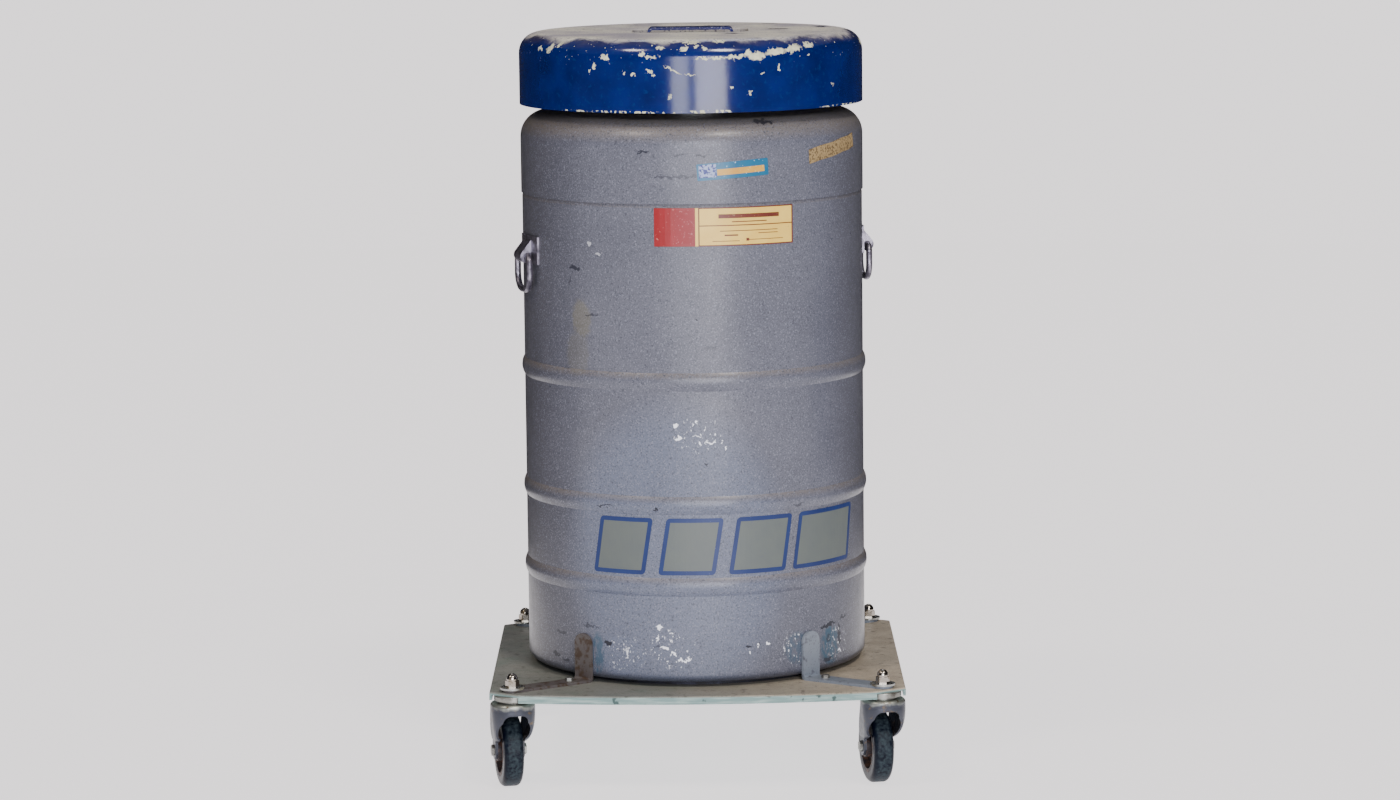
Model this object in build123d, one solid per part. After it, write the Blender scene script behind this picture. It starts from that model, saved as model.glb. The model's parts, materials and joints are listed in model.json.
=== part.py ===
from build123d import *
import math
import os

os.makedirs("parts", exist_ok=True)

# Cell freezing container: an aluminium vacuum-insulated vessel with a loose lid,
# standing on a square roller base with four swivel casters.
# Millimetres, +Z up. The origin is on the floor, on the vessel's own axis.
# The front of the vessel faces -Y.

# ------------------------------------------------------------------ fits and clearances
rest_gap = 0.2            # between a piece and the seat of another body
running_fit = 0.1         # radial, pin in bore
glue_gap = 0.1            # radial, bonded or pressed joints of one body
wrap_gap = 0.3            # round soft fillings

# ------------------------------------------------------------------ casters
wheel_diameter = 80.0
tyre_width = 22.0
tyre_depth = 11.0
tyre_shoulder = 6.0
hub_diameter = 24.0
web_thickness = 7.0
core_rim_depth = 4.0
axle_diameter = 8.0
axle_head_width = 11.0
axle_head_height = 2.6
caster_trail = 30.0
caster_height = 107.0     # floor to the underside of the deck sheet
fork_sheet = 2.3
fork_leg_gap = 28.0       # inside, between the legs at the axle
fork_hood_diameter = 48.0
fork_hood_depth = 8.0
fork_edge_radius = 4.0
fork_eye_radius = 10.0
fork_front_lip = 12.0     # hood top down to the front window
fork_rear_lip = 15.0      # hood top down to the rear window
fork_hood_corner = 0.9    # corner radius of the hood, as a share of its radius
fork_knee_height = 0.6    # share of the way from the axle up to the hood's lower edge
fork_knee_front = 0.75    # share of the hood radius, forward of the kingpin
fork_knee_rear = 2.0      # behind the axle
fork_knee_bulge = 2.0     # wider than halfway between the hood and the ankle
fork_knee_corner = 0.7    # corner radius at the knee, as a share of its half width
fork_ankle_corner = 3.0
fork_ankle_depth = 24.0
fork_toe = 2.0            # blank below the eye
fork_window_inset = 0.4   # the windows are this much narrower than the leg gap, each side
fork_window_corner = 8.0
race_diameter = 40.0
race_sheet = 2.5
race_lip = 5.5
race_to_hood = 8.0        # underside of the deck to the top of the hood
ball_cage_inner = 11.0
ball_cage_outer = 16.0
kingpin_diameter = 8.0
kingpin_head_diameter = 17.0
kingpin_head_height = 3.2
kingpin_thread = 18.0     # stud length above the deck sheet
front_caster_yaw = 12.0   # degrees from trailing straight back
rear_left_yaw = 18.0
rear_right_yaw = -10.0

# ------------------------------------------------------------------ deck
deck_half_width = 225.0
deck_half_depth = 218.0   # at the ends of the bowed edges
kingpin_inset_x = 25.0    # from the deck's sides
kingpin_inset_y = 22.0    # from the ends of the bowed edges
deck_bow = 16.0
deck_corner_x = 32.0      # cut off along the front and rear edges
deck_corner_y = 20.0      # cut off along the sides
deck_sheet = 3.0
deck_flange = 9.0
deck_fold_radius = 2.0

# ------------------------------------------------------------------ fasteners
washer_diameter = 27.0
washer_thickness = 2.0
cap_nut_width = 13.0
cap_nut_height = 15.0
cap_nut_hex = 7.0
cap_nut_shoulder = 0.4    # hexagon's flat to the dome
screw_diameter = 5.0
screw_head_width = 8.0
screw_head_height = 3.5
screw_nut_height = 4.0
hole_clearance = 0.2

# ------------------------------------------------------------------ clip straps
clip_angle = 40.7         # from the -Y or +Y direction, each side
clip_width = 24.0
clip_sheet = 3.0
clip_height = 53.0
clip_end_radius = 11.0
clip_crown_flat = 0.5     # half of the flat left on the upright's top
clip_root_length = 0.5    # of the foot in line with the upright
clip_bend_radius = 2.0
clip_screw_reach = 18.0   # from the upright leg

# ------------------------------------------------------------------ vessel
drum_radius = 188.0
drum_sheet = 1.8
drum_corner = 8.0
foot_ring_height = 5.0
foot_ring_outer = 168.0
foot_ring_inner = 150.0
drum_height = 520.0       # drum bottom to the lower edge of the top head
bead_heights = (105.0, 194.0, 328.0)   # above the drum bottom
bead_width = 20.0
bead_rise = 3.0
joggle_depth = 1.2
joggle_length = 4.0
sleeve_length = 26.0      # of the drum inside the top head
head_height = 89.0
head_step = 1.0           # the head stands out this much beyond the drum
head_shoulder = 28.0
vacuum_gap = 29.2         # drum wall to the flask wall
inner_wall = 2.0
inner_dome = 40.0
inner_height = 530.0
inner_floor_gap = 24.0    # drum floor to the inner vessel
neck_bore = 90.0
neck_wall = 2.5
neck_rise = 50.0          # top head to the neck mouth
neck_tuck = 12.0          # neck tube inside the inner vessel
collar_flange_radius = 75.0
collar_flange_height = 6.0
collar_radius = 60.0
collar_blend = 6.0
port_radius = 12.0
port_wall = 2.0
port_height = 14.0
port_place = 118.0        # from the axis
port_angle = 45.0
port_cap_wall = 2.0
port_cap_height = 10.0

# ------------------------------------------------------------------ lid
lid_radius = 189.3
lid_sheet = 2.0
lid_height = 78.0
lid_edge_radius = 22.0
lid_hover = 8.0           # top head to the lid's rim
recess_end_room = 4.0     # beyond the handle's feet
recess_width = 80.0
recess_corner = 18.0
recess_edge = 1.5         # rounding of the recess rim
recess_floor_edge = 3.0
recess_depth = 20.0
lid_handle_length = 95.0
lid_handle_width = 26.0
lid_handle_sheet = 3.0
lid_handle_stand = 4.0    # above the lid's top
lid_handle_foot = 12.0
lid_rivet_diameter = 5.0
lid_rivet_head = 9.0
lid_rivet_height = 2.0
plug_clearance = 0.8
plug_length = 112.0
plug_flange_radius = 72.0
plug_plate_sheet = 2.0
plug_screw_diameter = 8.0
plug_screw_head = 16.0
plug_screw_head_height = 4.0
plug_screw_length = 46.0

# ------------------------------------------------------------------ carrying handles
handle_turn_left = 18.0   # degrees, towards the front from the -X axis
handle_turn_right = 10.0  # degrees, towards the rear from the +X axis
bracket_width = 60.0
bracket_height = 30.0
bracket_sheet = 2.4
bracket_centre = 461.0    # above the drum bottom
saddle_width = 27.0
saddle_wall = 3.6
bail_wire = 7.0
bail_width = 47.0         # between the wire's centre lines
bail_height = 37.0
bail_top_corner = 9.0
bail_low_corner = 17.0
bail_pivot_drop = 7.0     # below the bracket's centre
bail_fit = 0.3
bail_stand = 1.0          # wire clear of the bracket plate

# ------------------------------------------------------------------ derived levels and sizes
deck_top = caster_height + deck_sheet
drum_bottom = deck_top + foot_ring_height
seam_level = drum_bottom + drum_height
head_top = seam_level + head_height
head_radius = drum_radius + head_step
head_sheet = head_step + joggle_depth - glue_gap
inner_radius = drum_radius - drum_sheet - vacuum_gap
neck_top = head_top + neck_rise
lid_rim = head_top + lid_hover
lid_top = lid_rim + lid_height
recess_floor = lid_top - recess_depth
pan_underside = recess_floor - lid_sheet
recess_length = lid_handle_length + 2 * (lid_handle_foot + recess_end_room)
inner_bottom = drum_bottom + inner_floor_gap
inner_top = inner_bottom + inner_height
inner_girth = (inner_bottom + inner_top) / 2
neck_outer = neck_bore / 2 + neck_wall
kingpin_x = deck_half_width - kingpin_inset_x
kingpin_y = deck_half_depth - kingpin_inset_y
wheel_radius = wheel_diameter / 2
axle_height = wheel_radius
hood_top = caster_height - race_to_hood
fork_half_width = fork_leg_gap / 2 + fork_sheet
bracket_level = drum_bottom + bracket_centre
pivot_level = bracket_level - bail_pivot_drop
bracket_face = drum_radius + glue_gap
pivot_radius = bracket_face + bracket_sheet + bail_stand + bail_wire / 2


# ------------------------------------------------------------------ shared helpers
def save(shape, name):
    """Write one sub-part as its own STEP file."""
    shape.label = name
    export_step(shape, f"parts/{name}.step")


def outline(start, *steps):
    """A closed face in the XZ plane: a step is a point, or (through, end) for an arc."""
    edges = []
    here = start
    for step in list(steps) + [start]:
        if isinstance(step[0], tuple):
            through, end = step
            edges.append(ThreePointArc(*[(r, 0, z) for r, z in (here, through, end)]))
        else:
            end = step
            if math.dist(here, end) > 1e-6:
                edges.append(Line((here[0], 0, here[1]), (end[0], 0, end[1])))
        here = end
    return Face(Wire(edges))


def corner_arc(centre, radius, start_angle, end_angle):
    """The (through, end) pair of an arc about a centre in the XZ plane, angles in degrees."""
    points = []
    for angle in ((start_angle + end_angle) / 2, end_angle):
        turn = math.radians(angle)
        points.append((centre[0] + radius * math.cos(turn), centre[1] + radius * math.sin(turn)))
    return tuple(points)


def turned(face):
    """A full revolve about the vertical axis."""
    return revolve(face, axis=Axis.Z, revolution_arc=360)


def rod(radius, bottom, top, x=0.0, y=0.0):
    """An upright round bar between two levels."""
    return Pos(x, y, bottom) * Cylinder(radius, top - bottom, align=(Align.CENTER, Align.CENTER, Align.MIN))


def ring(outer, inner, bottom, top, x=0.0, y=0.0):
    """An upright round tube between two levels."""
    return rod(outer, bottom, top, x, y) - rod(inner, bottom - 1, top + 1, x, y)


def hexagon(width, bottom, top, x=0.0, y=0.0):
    """An upright hexagonal bar, width across its flats."""
    face = Pos(x, y, bottom) * RegularPolygon(width / 2, 6, major_radius=False)
    return extrude(face, amount=top - bottom)


# ------------------------------------------------------------------ vessel
def bead_steps(radius, upwards):
    """The three swaged beads on a drum surface, as outline steps going up or down."""
    steps = []
    levels = bead_heights if upwards else tuple(reversed(bead_heights))
    half = bead_width / 2 if upwards else -bead_width / 2
    for level in levels:
        z = drum_bottom + level
        steps.append((radius, z - half))
        steps.append(((radius + bead_rise, z), (radius, z + half)))
    return steps


def make_body_shell():
    """The drum: flat floor, three swaged beads and a joggled upper edge."""
    inner = drum_radius - drum_sheet
    tuck = drum_radius - joggle_depth
    top = seam_level + sleeve_length
    floor = drum_bottom + drum_sheet
    centre = (drum_radius - drum_corner, drum_bottom + drum_corner)
    face = outline(
        (0, drum_bottom),
        (centre[0], drum_bottom),
        corner_arc(centre, drum_corner, -90, 0),
        *bead_steps(drum_radius, True),
        (drum_radius, seam_level - joggle_length),
        (tuck, seam_level),
        (tuck, top),
        (tuck - drum_sheet, top),
        (tuck - drum_sheet, seam_level),
        (inner, seam_level - joggle_length),
        *bead_steps(inner, False),
        (inner, centre[1]),
        corner_arc(centre, drum_corner - drum_sheet, 0, -90),
        (0, floor),
    )
    return turned(face)


def make_foot_ring():
    """The ring under the drum floor that the vessel stands on."""
    return ring(foot_ring_outer, foot_ring_inner, deck_top, drum_bottom)


def make_top_head():
    """The domed cover of the drum, sleeved over the joggle, with the neck hole."""
    inner = head_radius - head_sheet
    centre = (head_radius - head_shoulder, head_top - head_shoulder)
    hole = neck_outer + glue_gap
    face = outline(
        (head_radius, seam_level),
        (head_radius, centre[1]),
        corner_arc(centre, head_shoulder, 0, 90),
        (hole, head_top),
        (hole, head_top - head_sheet),
        (centre[0], head_top - head_sheet),
        corner_arc(centre, head_shoulder - head_sheet, 90, 0),
        (inner, seam_level),
    )
    return turned(face)


def make_flask_lower():
    """The spun lower half of the cold flask, with its domed floor."""
    inner = inner_radius - inner_wall
    centre = (inner_radius - inner_dome, inner_bottom + inner_dome)
    face = outline(
        (0, inner_bottom),
        (centre[0], inner_bottom),
        corner_arc(centre, inner_dome, -90, 0),
        (inner_radius, inner_girth),
        (inner, inner_girth),
        (inner, centre[1]),
        corner_arc(centre, inner_dome - inner_wall, 0, -90),
        (0, inner_bottom + inner_wall),
    )
    return turned(face)


def make_flask_upper():
    """The spun upper half of the cold flask, butted on the lower half, with the neck hole."""
    inner = inner_radius - inner_wall
    centre = (inner_radius - inner_dome, inner_top - inner_dome)
    hole = neck_outer + glue_gap
    face = outline(
        (inner_radius, inner_girth),
        (inner_radius, centre[1]),
        corner_arc(centre, inner_dome, 0, 90),
        (hole, inner_top),
        (hole, inner_top - inner_wall),
        (centre[0], inner_top - inner_wall),
        corner_arc(centre, inner_dome - inner_wall, 90, 0),
        (inner, inner_girth),
    )
    return turned(face)


def make_insulation_wrap():
    """The blanket of foil and paper in the vacuum space, under and round the flask."""
    outer = drum_radius - joggle_depth - drum_sheet - wrap_gap
    inner = inner_radius + wrap_gap
    bottom = drum_bottom + drum_sheet + wrap_gap
    corner = (outer - drum_corner, bottom + drum_corner)
    low = (inner_radius - inner_dome, inner_bottom + inner_dome)
    top = inner_top - inner_dome
    face = outline(
        (0, bottom),
        (corner[0], bottom),
        corner_arc(corner, drum_corner, -90, 0),
        (outer, top),
        (inner, top),
        (inner, low[1]),
        corner_arc(low, inner_dome + wrap_gap, 0, -90),
        (0, inner_bottom - wrap_gap),
    )
    return turned(face)


def make_neck_tube():
    """The thin glass-fibre tube that joins the flask to the neck mouth."""
    return ring(neck_outer, neck_bore / 2, inner_top - neck_tuck, neck_top)


def make_neck_collar():
    """The turned collar on the top head that stiffens the neck and carries the plug."""
    bore = neck_outer + glue_gap
    foot = head_top + collar_flange_height
    blend = (collar_radius + collar_blend, foot + collar_blend)
    face = outline(
        (bore, head_top),
        (collar_flange_radius, head_top),
        (collar_flange_radius, foot),
        (blend[0], foot),
        corner_arc(blend, collar_blend, 270, 180),
        (collar_radius, neck_top),
        (bore, neck_top),
    )
    return turned(face)


def port_position():
    """Centre of the vacuum port on the top head."""
    turn = math.radians(port_angle)
    return port_place * math.cos(turn), port_place * math.sin(turn)


def make_vacuum_port():
    """The evacuation stub on the top head."""
    x, y = port_position()
    return ring(port_radius, port_radius - port_wall, head_top, head_top + port_height, x, y)


def make_vacuum_port_cap():
    """The push-on cap over the evacuation stub."""
    x, y = port_position()
    top = head_top + port_height + rest_gap + port_cap_wall
    cap = rod(port_radius + glue_gap + port_cap_wall, top - port_cap_height, top, x, y)
    return cap - rod(port_radius + glue_gap, top - port_cap_height - 1, top - port_cap_wall, x, y)


# ------------------------------------------------------------------ carrying handles
def side_frame(side):
    """Location of a handle: local +X points out from the drum, local Y along it."""
    turn = handle_turn_right if side == "right" else handle_turn_left + 180
    return Rot(0, 0, turn)


def make_handle_bracket():
    """A curved plate with a folded saddle that holds the bail's upper bar."""
    inner = bracket_face
    low = bracket_level - bracket_height / 2
    high = bracket_level + bracket_height / 2
    plate = ring(inner + bracket_sheet, inner, low, high)
    plate &= Pos(inner, 0, bracket_level) * Box(inner, bracket_width, bracket_height)
    outer = bail_wire / 2 + bail_fit + saddle_wall
    root = inner + bracket_sheet / 2
    loop = Pos(pivot_radius, pivot_level) * Circle(outer)
    base = Pos(root, bracket_level) * Rectangle(bracket_sheet / 4, bracket_height - 2 * saddle_wall)
    hull = make_hull(loop.edges() + base.edges())
    saddle = extrude(Plane.XZ * hull, amount=saddle_width / 2, both=True)
    saddle -= rod(inner, low - outer, high + outer)
    hole = Plane.XZ * (Pos(pivot_radius, pivot_level) * Circle(bail_wire / 2 + bail_fit))
    return plate + saddle - extrude(hole, amount=saddle_width, both=True)


def make_bail():
    """The closed wire link that hangs in the bracket."""
    half = bail_width / 2
    upper = pivot_level - bail_top_corner
    lower = pivot_level - bail_height + bail_low_corner
    face = outline(
        (0, pivot_level),
        (half - bail_top_corner, pivot_level),
        corner_arc((half - bail_top_corner, upper), bail_top_corner, 90, 0),
        (half, lower),
        corner_arc((half - bail_low_corner, lower), bail_low_corner, 0, -90),
        (bail_low_corner - half, lower - bail_low_corner),
        corner_arc((bail_low_corner - half, lower), bail_low_corner, 270, 180),
        (-half, upper),
        corner_arc((bail_top_corner - half, upper), bail_top_corner, 180, 90),
    )
    path = (Pos(pivot_radius, 0, 0) * Rot(0, 0, 90) * face).outer_wire()
    start = Plane(origin=(pivot_radius, 0, pivot_level), x_dir=(1, 0, 0), z_dir=(0, 1, 0))
    return sweep(start * Circle(bail_wire / 2), path=path)


# ------------------------------------------------------------------ deck
def deck_outline(inset):
    """The deck's plan: straight sides, bowed front and rear edges and cut corners."""
    x = deck_half_width - inset
    y = deck_half_depth - inset
    corner = deck_half_width - deck_corner_x
    side = deck_half_depth - deck_corner_y
    middle = y + deck_bow
    edges = [
        ThreePointArc((-corner, -y), (0, -middle), (corner, -y)),
        Line((corner, -y), (x, -side)),
        Line((x, -side), (x, side)),
        Line((x, side), (corner, y)),
        ThreePointArc((corner, y), (0, middle), (-corner, y)),
        Line((-corner, y), (-x, side)),
        Line((-x, side), (-x, -side)),
        Line((-x, -side), (-corner, -y)),
    ]
    return Face(Wire(edges))


def make_deck():
    """The folded sheet deck with its down-turned flanges, open at the corners."""
    low = deck_top - deck_flange
    sheet = extrude(Pos(0, 0, low) * deck_outline(0), amount=deck_flange)
    rim = [e for e in sheet.edges() if abs(e.center().Z - deck_top) < 1e-6]
    sheet = fillet(rim, deck_fold_radius)
    sheet -= extrude(Pos(0, 0, low) * deck_outline(deck_sheet), amount=deck_flange - deck_sheet)
    for sx in (-1, 1):
        for sy in (-1, 1):
            x0 = deck_half_width - deck_corner_x
            y0 = deck_half_depth - deck_corner_y
            corner = Pos(sx * (x0 + deck_corner_x), sy * (y0 + deck_corner_y), low)
            cut = Box(2 * deck_corner_x, 2 * deck_corner_y, 2 * (deck_flange - deck_sheet))
            sheet -= corner * cut
            kingpin_hole = kingpin_diameter / 2 + hole_clearance
            sheet -= rod(kingpin_hole, low, deck_top + 1, sx * kingpin_x, sy * kingpin_y)
            x, y = screw_position(sx, sy)
            sheet -= rod(screw_diameter / 2 + hole_clearance, low, deck_top + 1, x, y)
    return sheet


# ------------------------------------------------------------------ clip straps
def clip_root():
    """Plan position of the upright leg's outer face, front right quarter."""
    turn = math.radians(clip_angle)
    reach = drum_radius + rest_gap + clip_sheet
    return reach * math.sin(turn), -reach * math.cos(turn)


def screw_position(sx, sy):
    """Centre of a clip screw in the quarter named by the signs of x and y."""
    x, y = clip_root()
    dx, dy = kingpin_x - x, -kingpin_y - y
    share = clip_screw_reach / math.hypot(dx, dy)
    return sx * (x + dx * share), -sy * (y + dy * share)


def make_clip_strap(sx, sy):
    """A bent strap: an upright leg at the drum and a foot that runs to the kingpin."""
    inner = drum_radius + rest_gap
    outer_bend = clip_sheet + clip_bend_radius
    top = deck_top + clip_height
    centre = (inner + outer_bend, deck_top + outer_bend)
    upright = outline(
        (inner, top),
        (inner, centre[1]),
        corner_arc(centre, outer_bend, 180, 270),
        (centre[0], deck_top + clip_sheet),
        corner_arc(centre, clip_bend_radius, 270, 180),
        (inner + clip_sheet, top),
    )
    leg = extrude(upright, amount=clip_width / 2, both=True)
    crown = [e for e in leg.edges() if abs(e.center().Z - top) < 1e-6 and e.length < clip_sheet + 1e-6]
    leg = fillet(crown, clip_width / 2 - clip_crown_flat)
    turn = Rot(0, 0, clip_angle - 90)
    root = turn * Pos(centre[0], 0) * Rectangle(clip_root_length, clip_width)
    pad = Pos(kingpin_x, -kingpin_y) * Circle(clip_end_radius)
    foot = extrude(Pos(0, 0, deck_top) * make_hull(root.edges() + pad.edges()), amount=clip_sheet)
    strap = turn * leg + foot
    strap -= rod(kingpin_diameter / 2 + hole_clearance, deck_top - 1, top, kingpin_x, -kingpin_y)
    x, y = screw_position(1, -1)
    strap -= rod(screw_diameter / 2 + hole_clearance, deck_top - 1, top, x, y)
    if sx < 0:
        strap = strap.mirror(Plane.YZ)
    if sy > 0:
        strap = strap.mirror(Plane.XZ)
    return strap


def make_clip_screw(sx, sy):
    """A small hexagon screw with its nut under the deck."""
    x, y = screw_position(sx, sy)
    seat = deck_top + clip_sheet
    nut_top = deck_top - deck_sheet
    screw = hexagon(screw_head_width, seat, seat + screw_head_height, x, y)
    screw += rod(screw_diameter / 2, nut_top - screw_nut_height, seat, x, y)
    return screw + hexagon(screw_head_width, nut_top - screw_nut_height, nut_top, x, y)


# ------------------------------------------------------------------ caster fasteners
def make_washer(x, y):
    """The plain washer on the strap's end."""
    seat = deck_top + clip_sheet
    bore = kingpin_diameter / 2 + hole_clearance
    return ring(washer_diameter / 2, bore, seat, seat + washer_thickness, x, y)


def make_cap_nut(x, y):
    """A domed nut on the kingpin."""
    seat = deck_top + clip_sheet + washer_thickness
    dome = cap_nut_width / 2 - cap_nut_shoulder
    nut = hexagon(cap_nut_width, seat, seat + cap_nut_hex, x, y)
    nut += rod(dome, seat + cap_nut_hex, seat + cap_nut_height - dome, x, y)
    nut += Pos(x, y, seat + cap_nut_height - dome) * Sphere(dome)
    thread_end = deck_top + kingpin_thread
    return nut - rod(kingpin_diameter / 2 + glue_gap, seat - 1, thread_end + rest_gap, x, y)


# ------------------------------------------------------------------ casters, kingpin on the local Z axis
def make_race():
    """The pressed upper race with the kingpin riveted through it."""
    top = caster_height
    radius = race_diameter / 2
    race = rod(radius, top - race_lip, top)
    race = fillet([e for e in race.edges() if abs(e.center().Z - top) < 1e-6], race_sheet / 2)
    race -= rod(radius - race_sheet, top - race_lip - 1, top - race_sheet)
    head_level = hood_top - fork_sheet - rest_gap
    race += rod(kingpin_head_diameter / 2, head_level - kingpin_head_height, head_level)
    return race + rod(kingpin_diameter / 2, head_level - kingpin_head_height, deck_top + kingpin_thread)


def make_ball_cage():
    """The ring of balls in its cage, between the hood and the upper race."""
    low = hood_top + rest_gap
    high = caster_height - race_sheet - rest_gap
    return ring(ball_cage_outer, ball_cage_inner, low, high)


def fork_blank(inset):
    """The hood and legs as a solid, shrunk on every side by the inset."""
    hood = fork_hood_diameter / 2 - inset
    ankle_level = axle_height + fork_eye_radius
    ankle_half = fork_half_width - inset
    knee_level = axle_height + fork_knee_height * (hood_top - axle_height - fork_hood_depth)
    knee_half = (hood + ankle_half) / 2 + fork_knee_bulge
    knee_front = -fork_knee_front * hood
    knee_rear = caster_trail + fork_knee_rear - inset
    hood_section = RectangleRounded(2 * hood, 2 * hood, fork_hood_corner * hood)
    knee_section = RectangleRounded(2 * knee_half, knee_rear - knee_front, fork_knee_corner * knee_half)
    ankle_section = RectangleRounded(2 * ankle_half, fork_ankle_depth, fork_ankle_corner)
    sections = [
        Pos(0, 0, hood_top - fork_hood_depth) * hood_section,
        Pos(0, (knee_front + knee_rear) / 2, knee_level) * knee_section,
        Pos(0, caster_trail, ankle_level) * ankle_section,
    ]
    legs = loft(sections) + extrude(sections[-1], amount=-2 * fork_eye_radius - fork_toe)
    return legs + extrude(sections[0], amount=fork_hood_depth - inset)


def make_fork():
    """The pressed fork: a round hood that tapers into two legs, open front and rear."""
    blank = fork_blank(0)
    rim = [e for e in blank.edges() if abs(e.center().Z - hood_top) < 1e-6]
    blank = fillet(rim, fork_edge_radius)
    hood = fork_hood_diameter / 2
    lip = hood_top - fork_front_lip
    eye = Pos(caster_trail, axle_height) * Circle(fork_eye_radius)
    skirt = Pos(0, (hood_top + lip) / 2) * Rectangle(2 * hood + fork_sheet, hood_top - lip)
    side = Plane.YZ * make_hull(eye.edges() + skirt.edges())
    profile = extrude(side, amount=2 * hood, both=True)
    fork = (blank & profile) - fork_blank(fork_sheet)
    half = fork_leg_gap / 2 - fork_window_inset
    reach = caster_trail + 2 * fork_eye_radius
    for direction, drop in ((-1, fork_front_lip), (1, fork_rear_lip)):
        crown = hood_top - drop
        window = Plane.XZ * RectangleRounded(2 * half, 2 * crown, fork_window_corner)
        fork -= extrude(window, amount=-direction * reach)
    fork -= rod(kingpin_diameter / 2 + running_fit, hood_top - fork_hood_depth, hood_top + 1)
    fork -= axle_bar(axle_diameter / 2 + glue_gap, 2 * hood)
    return fork


def axle_bar(radius, length):
    """A round bar along the axle line."""
    return Pos(0, caster_trail, axle_height) * Rot(0, 90, 0) * Cylinder(radius, length)


def make_axle():
    """The axle bolt and its nut, outside the fork legs."""
    half = fork_half_width
    bolt = axle_bar(axle_diameter / 2, 2 * half + axle_head_height)
    for side in (-1, 1):
        centre = Pos(side * (half + rest_gap + axle_head_height / 2), caster_trail, axle_height)
        head = RegularPolygon(axle_head_width / 2, 6, major_radius=False)
        bolt += centre * Rot(0, 90, 0) * extrude(head, amount=axle_head_height / 2, both=True)
    return bolt


def lay_on_axle(solid):
    """Move a wheel turned about the Z axis onto the axle line."""
    return Pos(0, caster_trail, axle_height) * Rot(0, 90, 0) * solid


def make_wheel_core():
    """The wheel's core: rim, web and hub."""
    rim = wheel_radius - tyre_depth - glue_gap
    half = tyre_width / 2
    hub = hub_diameter / 2
    hub_half = fork_leg_gap / 2 - 2 * rest_gap
    bore = axle_diameter / 2 + running_fit
    web = web_thickness / 2
    face = outline(
        (bore, -hub_half),
        (hub, -hub_half),
        (hub, -web),
        (rim - core_rim_depth, -web),
        (rim - core_rim_depth, -half),
        (rim, -half),
        (rim, half),
        (rim - core_rim_depth, half),
        (rim - core_rim_depth, web),
        (hub, web),
        (hub, hub_half),
        (bore, hub_half),
    )
    return lay_on_axle(turned(face))


def make_tyre():
    """The solid rubber tyre with a rounded tread."""
    bore = wheel_radius - tyre_depth
    half = tyre_width / 2
    low = (wheel_radius - tyre_shoulder, -half + tyre_shoulder)
    high = (low[0], -low[1])
    face = outline(
        (bore, -half),
        (low[0], -half),
        corner_arc(low, tyre_shoulder, -90, 0),
        (wheel_radius, high[1]),
        corner_arc(high, tyre_shoulder, 0, 90),
        (bore, half),
    )
    return lay_on_axle(turned(face))


# ------------------------------------------------------------------ lid
def recess_prism(grow, bottom, top):
    """The handle recess, grown on every side."""
    face = RectangleRounded(recess_length + 2 * grow, recess_width + 2 * grow, recess_corner + grow)
    return extrude(Pos(0, 0, bottom) * face, amount=top - bottom)


def make_lid_shell():
    """The pressed lid: rounded edge, deep skirt and a sunk pan for the handle."""
    inner = lid_radius - lid_sheet
    centre = (lid_radius - lid_edge_radius, lid_top - lid_edge_radius)
    face = outline(
        (0, lid_top - lid_sheet),
        (centre[0], lid_top - lid_sheet),
        corner_arc(centre, lid_edge_radius - lid_sheet, 90, 0),
        (inner, lid_rim),
        (lid_radius, lid_rim),
        (lid_radius, centre[1]),
        corner_arc(centre, lid_edge_radius, 0, 90),
        (0, lid_top),
    )
    lid = turned(face) + recess_prism(lid_sheet, pan_underside, lid_top - lid_sheet / 2)
    hollow = recess_prism(0, recess_floor, lid_top + 1)
    floor_edges = [e for e in hollow.edges() if abs(e.center().Z - recess_floor) < 1e-6]
    lid -= fillet(floor_edges, recess_floor_edge)
    top_edges = [e for e in lid.edges() if abs(e.center().Z - lid_top) < 1e-6]
    rim = [e for e in top_edges if math.hypot(e.center().X, e.center().Y) < recess_length]
    lid = fillet(rim, recess_edge)
    lid -= rod(plug_screw_diameter / 2 + hole_clearance, pan_underside - 1, lid_top)
    for x in lid_rivet_places():
        lid -= rod(lid_rivet_diameter / 2 + hole_clearance, pan_underside - 1, lid_top, x)
    return lid


def lid_rivet_places():
    """Where the two handle rivets stand along the recess."""
    place = (lid_handle_length + lid_handle_foot) / 2
    return (-place, place)


def make_lid_handle():
    """The strap handle that bridges the recess."""
    top = lid_top + lid_handle_stand
    half = lid_handle_length / 2
    end = half + lid_handle_foot
    t = lid_handle_sheet
    path = outline(
        (-end, recess_floor),
        (-half + t, recess_floor),
        (-half + t, top - 2 * t),
        corner_arc((-half + 2 * t, top - 2 * t), t, 180, 90),
        (half - 2 * t, top - t),
        corner_arc((half - 2 * t, top - 2 * t), t, 90, 0),
        (half - t, recess_floor),
        (end, recess_floor),
        (end, recess_floor + t),
        (half, recess_floor + t),
        (half, top - 2 * t),
        corner_arc((half - 2 * t, top - 2 * t), 2 * t, 0, 90),
        (-half + 2 * t, top),
        corner_arc((-half + 2 * t, top - 2 * t), 2 * t, 90, 180),
        (-half, recess_floor + t),
        (-end, recess_floor + t),
    )
    handle = extrude(path, amount=lid_handle_width / 2, both=True)
    for x in lid_rivet_places():
        handle -= rod(lid_rivet_diameter / 2 + hole_clearance, recess_floor - 1, recess_floor + t + 1, x)
    return handle


def make_lid_rivet(x):
    """A rivet through the handle's foot and the pan."""
    seat = recess_floor + lid_handle_sheet
    rivet = rod(lid_rivet_diameter / 2, pan_underside - lid_rivet_height, seat, x)
    rivet += rod(lid_rivet_head / 2, seat, seat + lid_rivet_height, x)
    return rivet + rod(lid_rivet_head / 2, pan_underside - lid_rivet_height, pan_underside, x)


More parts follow.
